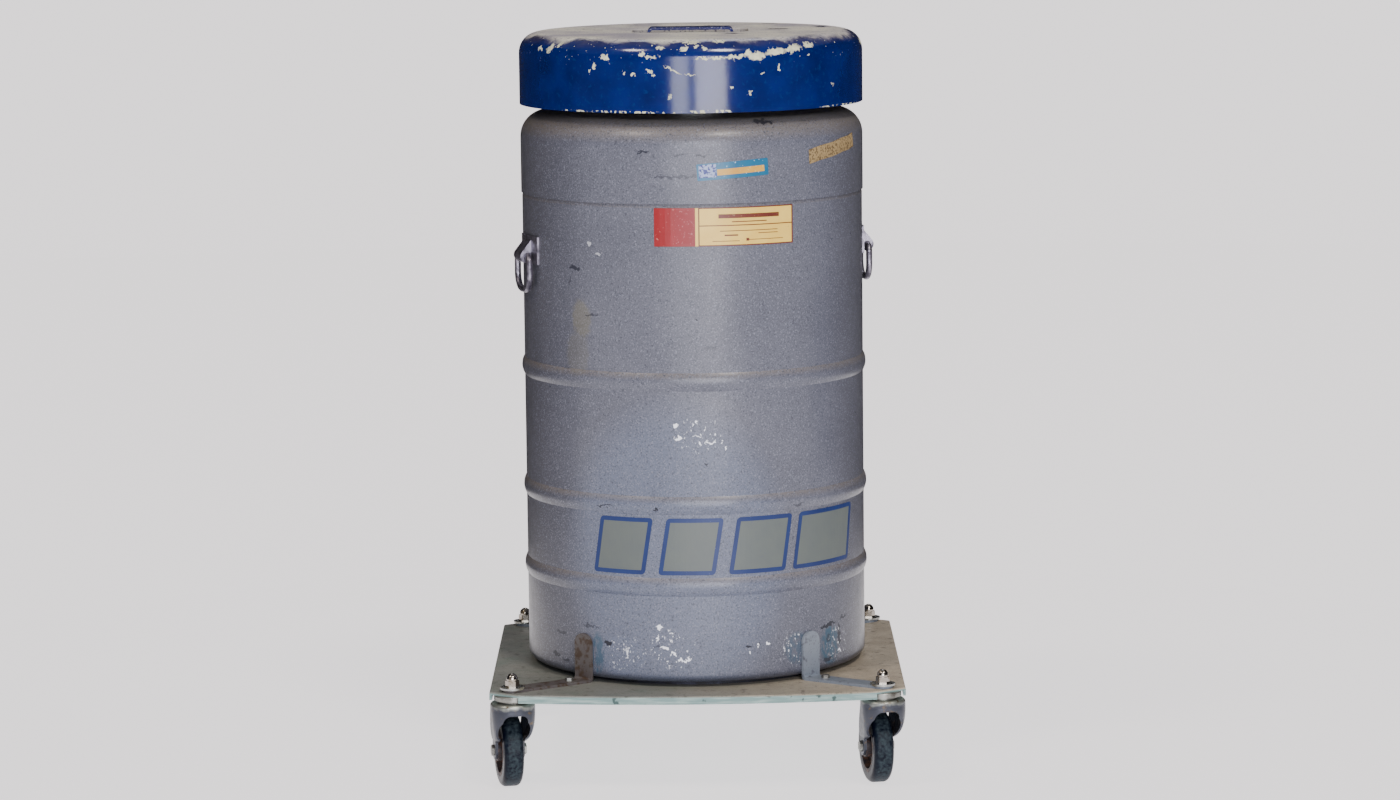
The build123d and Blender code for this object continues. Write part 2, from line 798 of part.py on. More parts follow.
def make_plug_plate():
    """The stiff disc between the pan and the foam plug."""
    radius = lid_rivet_places()[1] - lid_rivet_head
    plate = rod(radius, pan_underside - plug_plate_sheet, pan_underside)
    hole = plug_screw_diameter / 2 + hole_clearance
    return plate - rod(hole, pan_underside - 2 * plug_plate_sheet, lid_top)


def make_neck_plug():
    """The foam plug that hangs in the neck, with the shoulder that rests on the collar."""
    shoulder = neck_top + rest_gap
    top = pan_underside - plug_plate_sheet
    plug = rod(neck_bore / 2 - plug_clearance, shoulder - plug_length, shoulder)
    plug += rod(plug_flange_radius, shoulder, top)
    rivet_relief = lid_rivet_head / 2 + hole_clearance
    for x in lid_rivet_places():
        plug -= rod(rivet_relief, pan_underside - lid_rivet_height - rest_gap, top + 1, x)
    screw_end = recess_floor - plug_screw_length
    return plug - rod(plug_screw_diameter / 2 + glue_gap, screw_end - rest_gap, top + 1)


def make_plug_screw():
    """The screw from the recess floor into the plug."""
    screw = rod(plug_screw_diameter / 2, recess_floor - plug_screw_length, recess_floor)
    return screw + rod(plug_screw_head / 2, recess_floor, recess_floor + plug_screw_head_height)


# ------------------------------------------------------------------ write the assembly
def caster_places():
    """Name, kingpin position and yaw of each caster."""
    return (
        ("front_left", -kingpin_x, -kingpin_y, front_caster_yaw),
        ("front_right", kingpin_x, -kingpin_y, front_caster_yaw),
        ("rear_left", -kingpin_x, kingpin_y, rear_left_yaw),
        ("rear_right", kingpin_x, kingpin_y, rear_right_yaw),
    )


def write_vessel():
    """The drum, its flask and its neck."""
    save(make_body_shell(), "body_shell")
    save(make_foot_ring(), "foot_ring")
    save(make_top_head(), "top_head")
    save(make_flask_lower(), "flask_lower_half")
    save(make_flask_upper(), "flask_upper_half")
    save(make_insulation_wrap(), "insulation_wrap")
    save(make_neck_tube(), "neck_tube")
    save(make_neck_collar(), "neck_collar")
    save(make_vacuum_port(), "vacuum_port")
    save(make_vacuum_port_cap(), "vacuum_port_cap")
    for side in ("left", "right"):
        save(side_frame(side) * make_handle_bracket(), f"handle_bracket_{side}")
        save(side_frame(side) * make_bail(), f"handle_bail_{side}")


def write_base():
    """The deck, its straps and fasteners, and the casters."""
    quarters = [(name, 1 if x > 0 else -1, 1 if y > 0 else -1) for name, x, y, _ in caster_places()]
    save(make_deck(), "deck")
    for name, sx, sy in quarters:
        save(make_clip_strap(sx, sy), f"clip_strap_{name}")
    save(Compound(children=[make_clip_screw(sx, sy) for _, sx, sy in quarters]), "clip_screws")
    save(Compound(children=[make_washer(x, y) for _, x, y, _ in caster_places()]), "kingpin_washers")
    save(Compound(children=[make_cap_nut(x, y) for _, x, y, _ in caster_places()]), "kingpin_cap_nuts")
    for name, x, y, yaw in caster_places():
        place = Pos(x, y, 0) * Rot(0, 0, yaw)
        save(place * make_race(), f"caster_race_{name}")
        save(place * make_ball_cage(), f"caster_ball_cage_{name}")
        save(place * make_fork(), f"caster_fork_{name}")
        save(place * make_axle(), f"caster_axle_{name}")
        save(place * make_wheel_core(), f"wheel_core_{name}")
        save(place * make_tyre(), f"tyre_{name}")


def write_lid():
    """The lid with its handle and the foam plug under it."""
    save(make_lid_shell(), "lid_shell")
    save(make_lid_handle(), "lid_handle")
    save(Compound(children=[make_lid_rivet(x) for x in lid_rivet_places()]), "lid_handle_rivets")
    save(make_plug_plate(), "plug_plate")
    save(make_neck_plug(), "neck_plug")
    save(make_plug_screw(), "plug_screw")


write_vessel()
write_base()
write_lid()
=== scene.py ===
import json
import logging
import math
from dataclasses import dataclass, field
from enum import Enum
from typing import ClassVar

import bmesh
import bpy
from mathutils import Matrix, Vector


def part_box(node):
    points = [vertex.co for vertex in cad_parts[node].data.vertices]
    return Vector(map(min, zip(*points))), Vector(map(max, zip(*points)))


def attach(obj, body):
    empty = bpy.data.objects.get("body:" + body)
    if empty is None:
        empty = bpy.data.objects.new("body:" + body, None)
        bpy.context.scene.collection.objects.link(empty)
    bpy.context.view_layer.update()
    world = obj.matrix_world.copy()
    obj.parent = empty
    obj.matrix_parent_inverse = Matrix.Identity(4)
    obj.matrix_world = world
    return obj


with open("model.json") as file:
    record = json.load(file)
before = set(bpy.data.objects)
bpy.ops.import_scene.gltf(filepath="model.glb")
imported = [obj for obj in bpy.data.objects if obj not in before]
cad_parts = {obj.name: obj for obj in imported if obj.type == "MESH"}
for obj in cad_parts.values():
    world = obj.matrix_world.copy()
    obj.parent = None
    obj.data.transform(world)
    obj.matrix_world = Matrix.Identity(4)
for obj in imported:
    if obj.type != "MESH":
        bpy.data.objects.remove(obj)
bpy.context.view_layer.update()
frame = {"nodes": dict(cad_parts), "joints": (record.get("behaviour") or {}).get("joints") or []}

log = logging.getLogger("cell_freezing_container")
MM = 0.001
DRUM_RADIUS = 188.0
HEAD_RADIUS = 189.0

Node = bpy.types.ShaderNode
Socket = bpy.types.NodeSocket
Tree = bpy.types.ShaderNodeTree
Colour = Socket | str


# ------------------------------------------------------------------ shared tools
def srgb(code: str) -> tuple[float, float, float, float]:
    """Turn an sRGB hex colour to the linear values that Blender's sockets take.

    Args:
        code: six hex digits with a leading hash.

    Returns:
        Linear red, green, blue and an alpha of 1.
    """
    parts = [int(code[i:i + 2], 16) / 255 for i in (1, 3, 5)]
    linear = [c / 12.92 if c <= 0.04045 else ((c + 0.055) / 1.055) ** 2.4 for c in parts]
    return (*linear, 1.0)


def feed(tree: Tree, node: Node, inputs: dict) -> None:
    """Set or link inputs of a node.

    Args:
        tree: the material's node tree.
        node: the node.
        inputs: input name or index, with a value to set or a source to link; a node links its first output.
    """
    for key, value in inputs.items():
        if isinstance(value, Node):
            value = value.outputs[0]
        if isinstance(value, Socket):
            tree.links.new(value, node.inputs[key])
        else:
            node.inputs[key].default_value = value


def add(tree: Tree, kind: str, inputs: dict | None = None, **settings: object) -> Node:
    """Add one node with its settings, constant inputs and links.

    Args:
        tree: the material's node tree.
        kind: the shader node's type, without its common prefix.
        inputs: input name or index, with a value to set or a socket to link.
        settings: properties of the node itself.

    Returns:
        The new node.
    """
    node = tree.nodes.new("ShaderNode" + kind)
    for name, value in settings.items():
        setattr(node, name, value)
    feed(tree, node, inputs or {})
    return node


def new_surface(name: str) -> tuple[bpy.types.Material, Tree, Node]:
    """Start a material with a Principled shader and nothing else.

    Args:
        name: of the material.

    Returns:
        The material, its node tree and its Principled node.
    """
    material = bpy.data.materials.new(name)
    material.use_nodes = True
    tree = material.node_tree
    tree.nodes.clear()
    shader = add(tree, "BsdfPrincipled")
    add(tree, "OutputMaterial", {"Surface": shader.outputs["BSDF"]})
    return material, tree, shader


def millimetres(tree: Tree) -> Socket:
    """Object coordinates in millimetres."""
    place = add(tree, "TexCoord").outputs["Object"]
    return add(tree, "VectorMath", {0: place, "Scale": 1 / MM}, operation="SCALE").outputs[0]


def grain(tree: Tree, place: Socket, size: float, detail: float = 2.0, cut: tuple[float, float] = (0.0, 1.0),
          out: tuple[float, float] = (0.0, 1.0),
          stretch: tuple[float, float, float] = (1.0, 1.0, 1.0)) -> Socket:
    """A noise whose blotches have a real size, cut between two levels.

    Args:
        tree: the material's node tree.
        place: coordinates in millimetres.
        size: width of a blotch in millimetres.
        detail: octaves of finer noise.
        cut: noise values that become the low and the high end.
        out: the low and the high end.
        stretch: scale of the pattern along each axis.

    Returns:
        The cut noise.
    """
    moved = add(tree, "Mapping", {"Vector": place, "Scale": stretch}).outputs[0]
    noise = add(tree, "TexNoise", {"Vector": moved, "Scale": 1 / size, "Detail": detail})
    level = add(tree, "MapRange",
                {0: noise.outputs["Fac"], 1: cut[0], 2: cut[1], 3: out[0], 4: out[1]})
    return level.outputs[0]


def coats(tree: Tree, ground: Colour, layers: list[tuple[Socket, Colour]]) -> Socket:
    """Lay colours over a ground, each where its own mask lets it show.

    Args:
        tree: the material's node tree.
        ground: the lowest colour, an sRGB hex or a socket.
        layers: mask and colour of each coat, lowest first.

    Returns:
        The finished colour.
    """
    under = srgb(ground) if isinstance(ground, str) else ground
    for mask, coat in layers:
        over = srgb(coat) if isinstance(coat, str) else coat
        under = add(tree, "Mix", {0: mask, 6: under, 7: over}, data_type="RGBA").outputs[2]
    return under


def uneven(tree: Tree, layers: list[tuple[Socket, float]]) -> Socket:
    """Lay several reliefs over each other.

    Args:
        tree: the material's node tree.
        layers: height factor and real depth in millimetres of each relief.

    Returns:
        The normal of the uneven surface.
    """
    bump = None
    for height, depth in layers:
        under = {} if bump is None else {"Normal": bump.outputs[0]}
        bump = add(tree, "Bump",
                   {"Height": height, "Distance": depth * MM, "Strength": 1.0, **under})
    return bump.outputs[0]


# ------------------------------------------------------------------ marks on round surfaces
@dataclass(frozen=True)
class Mark:
    """A worn, stained or scraped patch at an azimuth (degrees, 0 is the front) and a height (mm)."""

    azimuth: float
    height: float
    half_width: float
    half_height: float
    tilt: float = 0.0
    strength: float = 1.0

    edge_out: ClassVar[float] = 1.15
    edge_in: ClassVar[float] = 0.85

    def mask(self, tree: Tree, wrap: Socket, radius: float) -> Socket:
        """The patch as a factor.

        Args:
            tree: the material's node tree.
            wrap: the surface unrolled, arc length and height in millimetres.
            radius: of the surface, in millimetres.

        Returns:
            A factor that is the mark's strength inside the patch.
        """
        local = add(tree, "Mapping",
                    {"Vector": wrap, "Location": (math.radians(self.azimuth) * radius, self.height, 0.0),
                     "Rotation": (0.0, 0.0, math.radians(self.tilt)),
                     "Scale": (self.half_width, self.half_height, 1.0)}, vector_type="TEXTURE")
        reach = add(tree, "VectorMath", {0: local.outputs[0]}, operation="LENGTH")
        inside = add(tree, "MapRange",
                     {0: reach.outputs["Value"], 1: self.edge_out, 2: self.edge_in,
                                                  3: 0.0, 4: self.strength})
        return inside.outputs[0]


def marks(*rows: tuple[float, ...]) -> tuple[Mark, ...]:
    """Patches from rows of azimuth, height, half width, half height, tilt and strength."""
    return tuple(Mark(*row) for row in rows)


def all_marks(tree: Tree, patches: tuple[Mark, ...], wrap: Socket, radius: float) -> Socket:
    """The strongest of several patches.

    Args:
        tree: the material's node tree.
        patches: the patches.
        wrap: the surface unrolled, in millimetres.
        radius: of the surface, in millimetres.

    Returns:
        One factor for all of them.
    """
    total: Socket | float = 0.0
    for mark in patches:
        total = add(tree, "Math", {0: mark.mask(tree, wrap, radius), 1: total},
                    operation="MAXIMUM").outputs[0]
    return total


def unroll(tree: Tree, place: Socket, radius: float) -> tuple[Socket, Socket]:
    """Unroll a vertical round surface.

    Args:
        tree: the material's node tree.
        place: coordinates in millimetres.
        radius: of the surface, in millimetres.

    Returns:
        The unrolled coordinates and the height, in millimetres.
    """
    xyz = add(tree, "SeparateXYZ", {0: place})
    back = add(tree, "Math", {0: xyz.outputs["Y"], 1: -1.0}, operation="MULTIPLY").outputs[0]
    turn = add(tree, "Math", {0: xyz.outputs["X"], 1: back}, operation="ARCTAN2").outputs[0]
    arc = add(tree, "Math", {0: turn, 1: radius}, operation="MULTIPLY").outputs[0]
    wrap = add(tree, "CombineXYZ", {0: arc, 1: xyz.outputs["Z"]}).outputs[0]
    return wrap, xyz.outputs["Z"]


def ragged(tree: Tree, wrap: Socket, place: Socket, size: float, shift: float) -> Socket:
    """Disturb unrolled coordinates, so that every patch drawn on them gets a torn outline.

    Args:
        tree: the material's node tree.
        wrap: the unrolled coordinates in millimetres.
        place: the coordinates that the noise reads, in millimetres.
        size: width of a tear in millimetres.
        shift: largest shift in millimetres.

    Returns:
        The disturbed coordinates.
    """
    noise = add(tree, "TexNoise", {"Vector": place, "Scale": 1 / size, "Detail": 4.0})
    push = add(tree, "VectorMath",
               {0: noise.outputs["Color"], 1: (2 * shift, 2 * shift, 0.0), 2: (-shift, -shift, 0.0)},
               operation="MULTIPLY_ADD")
    return add(tree, "VectorMath", {0: wrap, 1: push.outputs[0]}, operation="ADD").outputs[0]


# ------------------------------------------------------------------ finishes
@dataclass(frozen=True)
class DrumEnamel:
    """Sprayed machine enamel on aluminium: lavender grey, speckled, with scuffs and stains, settled dust and a
    painted warm reflection on upward slopes, painted shade on both sides and a painted bluish reflection on the
    lower front.
    """

    name: str = "drum_enamel_sprayed"
    radius: float = DRUM_RADIUS
    ground: str = "#5D5F6A"
    cloud: str = "#545661"
    speck: str = "#797C8A"
    pit: str = "#40434E"
    # colours of the painted shade on the left and the right side
    painted_shade_warm: str = "#2E2824"
    painted_shade_cool: str = "#37322F"
    # blue of a patch low on the left and of a painted reflection on the lower front
    blue_tint_and_reflection: str = "#66738E"
    bare: str = "#F4F7FF"
    dark: str = "#181B28"
    teal: str = "#2B4A5E"
    stain: str = "#6F6A52"
    # dust on upward slopes, which also stands for a painted warm reflection on them
    dust_and_sheen: str = "#857A69"
    # painted shade that darkens each side beyond what the lamps give: where it begins and is full, along X, and
    # strength
    painted_shade_left: tuple[float, float, float] = (-108.0, -187.0, 0.55)
    painted_shade_right: tuple[float, float, float] = (140.0, 187.0, 0.45)
    bare_marks: tuple[Mark, ...] = marks(
        (-6.4, 396, 2.3, 1.9), (-5.4, 383, 3.2, 2.4, 20), (5.2, 377.5, 6.1, 0.9), (2, 376, 1.9, 2.3, 40),
        (0.4, 400, 1.9, 1.6), (8.8, 378, 1.4, 1.2), (10.6, 371, 1.4, 1.4), (0.8, 385, 5, 0.6, 0, 0.7),
        (-12.6, 176, 3.7, 1.9, 10), (-13, 165, 0.9, 3.6, 18), (-10.6, 153, 4.7, 1.7, -8),
        (-7.8, 147, 4, 1.3, -42), (-4.6, 140, 5.8, 1.3, -6), (-3.0, 141, 1.2, 3.3, -10),
        (-23.7, 146, 0.9, 5.8, 0, 0.75), (-24.5, 151, 4.3, 0.8, 30, 0.6), (20.6, 154, 1.6, 1.2),
        (24, 154.5, 1.7, 1.3), (17.5, 147, 1.3, 1.3), (56.5, 134, 2.2, 2.5), (-36.5, 590, 2.2, 2.2, 0, 0.35),
        (-33, 580, 4.3, 1.2, 0, 0.35), (38, 128, 1.4, 5, 0, 0.5),
    )
    fleck_areas: tuple[Mark, ...] = marks(
        (1.5, 386, 24, 20, 0, 0.75), (-8, 153, 24, 22, 0, 0.8), (-25, 146, 26, 18, 0, 0.7),
        (35, 145, 22, 18, 0, 0.6), (55, 142, 20, 18, 0, 0.6),
    )
    dark_marks: tuple[Mark, ...] = marks(
        (-43, 563, 8, 2.2, 0, 0.8), (-45, 549, 1.5, 5, 0, 0.5), (-16, 691, 7, 1.6, 0, 0.9),
        (-4, 688, 8, 1.0, 3, 0.5), (3, 686, 5, 1.1, -14, 0.8), (-31, 307, 12, 1.1, 0, 0.9),
        (-36, 513, 9, 1.2, 0, 0.7), (-12.7, 306, 3.0, 2.6, -30), (1, 511, 1.8, 1.8), (3.5, 355, 2, 1.2),
        (6, 480, 9, 1.4, 8, 0.35), (-31, 155, 5, 3, -8), (-38, 172, 13, 1.1, -4, 0.7),
        (-52, 160, 9, 1.4, 0, 0.6), (-55, 134, 8, 2.2, -10), (-50, 129, 6, 1.6, -10, 0.8),
        (17.4, 153.5, 4, 1.5), (21, 154, 1.6, 1.6), (39.5, 156, 5, 2.6), (40, 141, 7, 1.8, 0, 0.7),
        (38, 126, 5, 2, 0, 0.7), (50, 165, 13, 2.4, 6), (59, 170, 8, 2, 10, 0.9), (56, 152, 2.6, 11, 4, 0.9),
        (50, 150, 4, 4, 0, 0.6), (-41, 148, 3.2, 9, -6, 0.9), (50, 127, 9, 2, 0, 0.8),
        (36, 305, 8, 1.3, 4, 0.6), (26, 720, 12, 2.2, 0, 0.8), (-13, 155, 5, 1.2, 0, 0.6),
        (-6, 664, 26, 1.5, 0, 0.55), (14, 663.5, 18, 1.3, 0, 0.45),
    )
    teal_marks: tuple[Mark, ...] = marks(
        (51, 143, 16, 21, 0, 0.95), (35.5, 146, 15, 17, 0, 0.5), (-35, 143, 8, 22, 0, 0.7),
    )
    # a blue patch low on the left, and a large painted reflection that turns the lower front bluish
    blue_marks_and_reflection: tuple[Mark, ...] = marks((-26, 143, 32, 24, 0, 0.45), (-8, 250, 120, 160, 0, 0.35))
    stain_marks: tuple[Mark, ...] = marks((-40, 508, 13, 20, 6, 0.38), (-42, 470, 16, 24, 0, 0.18))

    def build(self) -> bpy.types.Material:
        """Make the material.

        Returns:
            The enamel, with every mark at its own place.
        """
        material, tree, shader = new_surface(self.name)
        place = millimetres(tree)
        wrap, height = unroll(tree, place, self.radius)
        torn = ragged(tree, wrap, place, 4.5, 6.0)
        fleck = add(tree, "Math",
                    {0: all_marks(tree, self.fleck_areas, wrap, self.radius),
                     1: grain(tree, place, 2.6, 3, (0.63, 0.67), stretch=(1.0, 1.0, 0.7))},
                    operation="MULTIPLY")
        sprinkle = add(tree, "Math",
                       {0: all_marks(tree, self.teal_marks, wrap, self.radius),
                        1: grain(tree, place, 5.0, 5, (0.38, 0.52), stretch=(1.6, 1.6, 0.6))},
                       operation="MULTIPLY")
        # upward-facing slopes: settled dust and a painted warm reflection
        facing = add(tree, "SeparateXYZ", {0: add(tree, "TexCoord").outputs["Normal"]})
        upward_dirt_and_sheen = add(tree, "MapRange", {0: facing.outputs["Z"], 1: 0.12, 2: 0.6, 3: 0.0, 4: 0.45})
        across = add(tree, "SeparateXYZ", {0: place}).outputs["X"]
        # painted shade over the left and the right side
        left = add(tree, "MapRange", {0: across, 1: self.painted_shade_left[0], 2: self.painted_shade_left[1],
                                                  3: 0.0, 4: self.painted_shade_left[2]})
        right = add(tree, "MapRange", {0: across, 1: self.painted_shade_right[0], 2: self.painted_shade_right[1],
                                                   3: 0.0, 4: self.painted_shade_right[2]})
        foot = add(tree, "MapRange", {0: height, 1: 126.0, 2: 119.0, 3: 0.0, 4: 0.5})
        colour = coats(tree, self.ground, [
            (grain(tree, place, 80, 3, (0.35, 0.7)), self.cloud),
            # blue patch and painted bluish reflection on the lower front
            (all_marks(tree, self.blue_marks_and_reflection, wrap, self.radius), self.blue_tint_and_reflection),
            # painted shade on both sides
            (left, self.painted_shade_warm),
            (right, self.painted_shade_cool),
            # settled dust and a painted warm reflection on upward slopes
            (upward_dirt_and_sheen, self.dust_and_sheen),
            # spray speckle of about half a millimetre, drawn three times coarser so that it shows
            (grain(tree, place, 1.5, 1, (0.52, 0.74)), self.speck),
            (grain(tree, place, 1.8, 1, (0.54, 0.76)), self.pit),
            (foot, self.dark),
            (all_marks(tree, self.stain_marks, torn, self.radius), self.stain),
            (sprinkle, self.teal),
            (all_marks(tree, self.dark_marks, torn, self.radius), self.dark),
            (fleck, self.bare),
            (all_marks(tree, self.bare_marks, torn, self.radius), self.bare),
        ])
        # orange peel of 2.6 mm over the slow waves of a hand-beaten sheet
        normal = uneven(tree, [(grain(tree, place, 2.6, 1), 0.05), (grain(tree, place, 48, 2), 0.8)])
        feed(tree, shader, {
            "Base Color": colour,
            "Normal": normal,
            "Roughness": grain(tree, place, 9, 4, out=(0.23, 0.40)),
            "IOR": 1.45,
        })
        return material


@dataclass(frozen=True)
class LidEnamel:
    """Gloss enamel on a cream undercoat: deep blue, chipped to cream on the shoulder, rubbed grey on top."""

    name: str = "lid_enamel_gloss"
    radius: float = 189.3
    top: float = 810.0
    ground: str = "#02195F"
    cloud: str = "#02124C"
    sheen: str = "#04265E"
    chip: str = "#D8D8B8"
    chip_dirty: str = "#B4B49C"
    rubbed: str = "#D4D0C0"
    rubbed_dark: str = "#9C96A0"
    grime: str = "#3A3654"
    wander: float = 22.0
    worn_edge: tuple[float, float] = (193.0, 184.0)
    chips: tuple[Mark, ...] = marks(
        (4, 790.5, 7.7, 0.9), (9, 790, 11.2, 1.1), (15, 791, 9.5, 2.2, 3), (19, 795, 4.3, 3, 40),
        (22, 791.5, 9.5, 4.3, 4), (29, 795, 12, 3.6, 8), (36, 797.5, 11.2, 3.3, 8), (43, 800, 6.9, 2.8),
        (-54, 798, 6, 3.9, 30), (-60, 797, 5.2, 1.7, -10), (-50, 802, 4.3, 1.7, 20), (-29, 791, 5.2, 2.8, -8),
        (-33, 781, 2.2, 2.9), (-13, 792, 6.9, 1.4, -6), (-16, 795, 3.4, 1.9), (-10, 801, 4.3, 1.5),
        (-2, 800.5, 4.3, 2.1, 30), (2, 803, 3.4, 1.2), (4.4, 800.5, 2.9, 1.7), (-22, 775, 2.1, 2.1),
        (-19, 773.5, 2.4, 1.9), (-13.5, 777, 2.6, 1.9), (-12, 773.5, 3.1, 1.4), (-6, 778, 9.5, 0.8, -30),
        (0, 773, 6, 0.7, -6), (-35, 775, 1.4, 1.4), (19.5, 752, 2.2, 2.6, 0, 0.8), (13, 758, 1.4, 1.4),
        (24, 774, 1.9, 1.4, 20), (30, 778, 1.2, 3.6), (42, 790, 1.5, 1.5), (54, 757, 1.5, 2.6, 0, 0.7),
        (-7, 750, 2.2, 2.6, 0, 0.7), (0, 807.5, 10.3, 1.4), (10, 807.6, 7.7, 1.3), (120, 796, 15.5, 4.3, 8),
        (160, 799, 22.4, 3.4, -5), (-140, 797, 12, 4.3), (-100, 800, 13.8, 3.4), (85, 797, 12, 3.4),
    )
    rim_chips: tuple[Mark, ...] = marks(
        (-24, 733, 80, 1.2), (6, 733.5, 26, 1.8), (60, 733, 40, 1.0), (180, 733, 160, 1.2),
    )

    def build(self) -> bpy.types.Material:
        """Make the material.

        Returns:
            The enamel, with every chip at its own place.
        """
        material, tree, shader = new_surface(self.name)
        place = millimetres(tree)
        wrap, height = unroll(tree, place, self.radius)
        torn = ragged(tree, wrap, place, 3.6, 5.0)
        flat = add(tree, "VectorMath",
                   {0: place, 1: (1.0, 1.0, 0.0)}, operation="MULTIPLY").outputs[0]
        reach = add(tree, "VectorMath", {0: flat}, operation="LENGTH").outputs["Value"]
        wander = add(tree, "Math",
                     {0: grain(tree, place, 34, 5, (0.25, 0.75)), 1: self.wander, 2: reach},
                     operation="MULTIPLY_ADD")
        upper = add(tree, "MapRange",
                    {0: height, 1: self.top - 9, 2: self.top - 3, 3: 0.0, 4: 0.95})
        bared = add(tree, "MapRange",
                    {0: wander, 1: self.worn_edge[0], 2: self.worn_edge[1], 4: upper})
        worn = add(tree, "Math", {0: bared, 1: grain(tree, place, 46, 8, (0.30, 0.40))},
                   operation="MULTIPLY")
        shoulder = add(tree, "MapRange", {0: height, 1: self.top - 11, 2: self.top - 2})
        soiled = add(tree, "Math",
                     {0: shoulder, 1: grain(tree, place, 14, 5, (0.25, 0.65))},
                     operation="MULTIPLY")
        edge = add(tree, "MapRange", {0: height, 1: self.top - 30, 2: self.top - 8})
        crumbs = add(tree, "Math",
                     {0: grain(tree, place, 3.4, 3, (0.69, 0.72)), 1: edge},
                     operation="MULTIPLY")
        rim = add(tree, "Math", {0: all_marks(tree, self.rim_chips, wrap, self.radius),
                                           1: grain(tree, place, 4, 4, (0.52, 0.56))}, operation="MULTIPLY")
        chipped = add(tree, "Math",
                      {0: all_marks(tree, self.chips, torn, self.radius), 1: rim},
                      operation="MAXIMUM")
        chipped = add(tree, "Math",
                      {0: chipped, 1: crumbs}, operation="MAXIMUM")
        cream = coats(tree, self.chip, [(grain(tree, place, 7, 4, (0.4, 0.7)), self.chip_dirty)])
        grey = coats(tree, self.rubbed, [(grain(tree, place, 60, 8, (0.38, 0.66)), self.rubbed_dark),
                                               (grain(tree, place, 3, 5, (0.56, 0.7)), self.grime)])
        colour = coats(tree, self.ground, [
            (grain(tree, place, 30, 4, (0.35, 0.7)), self.cloud),
            (grain(tree, place, 4.5, 3, (0.56, 0.74)), self.sheen),
            (soiled, self.grime),
            (worn, grey),
            (chipped, cream),
        ])
        dull = add(tree, "Math", {0: worn, 1: chipped}, operation="MAXIMUM")
        rough = add(tree, "MapRange", {0: dull, 3: 0.15, 4: 0.6})
        tree.links.new(colour, shader.inputs["Base Color"])
        # a thick brushed coat: long soft waves under a fine orange peel
        tree.links.new(uneven(tree, [(grain(tree, place, 4, 2), 0.03), (grain(tree, place, 26, 1), 0.25)]),
                       shader.inputs["Normal"])
        feed(tree, shader, {
            "Roughness": rough,
            "IOR": 1.52,
        })
        return material


@dataclass(frozen=True)
class PlainPaint:
    """A non-metal coat or moulding with cloudy dirt and small dark pits."""

    name: str
    ground: str
    cloud: str
    dirt: str
    cloud_size: float = 40.0
    dirt_size: float = 14.0
    dirt_cut: tuple[float, float] = (0.52, 0.72)
    roughness: tuple[float, float] = (0.45, 0.7)
    depth: float = 0.06
    pit_size: float = 1.6

    def build(self) -> bpy.types.Material:
        """Make the material.

        Returns:
            The dirty coat.
        """
        material, tree, shader = new_surface(self.name)
        place = millimetres(tree)
        colour = coats(tree, self.ground, [
            (grain(tree, place, self.cloud_size, 4, (0.3, 0.7)), self.cloud),
            (grain(tree, place, self.dirt_size, 6, self.dirt_cut), self.dirt),
            (grain(tree, place, self.pit_size, 2, (0.60, 0.76)), self.dirt),
        ])
        feed(tree, shader, {
            "Base Color": colour,
            "Normal": uneven(tree, [(grain(tree, place, 2.2, 2), self.depth)]),
            "Roughness": grain(tree, place, 12, 4, out=self.roughness),
        })
        return material


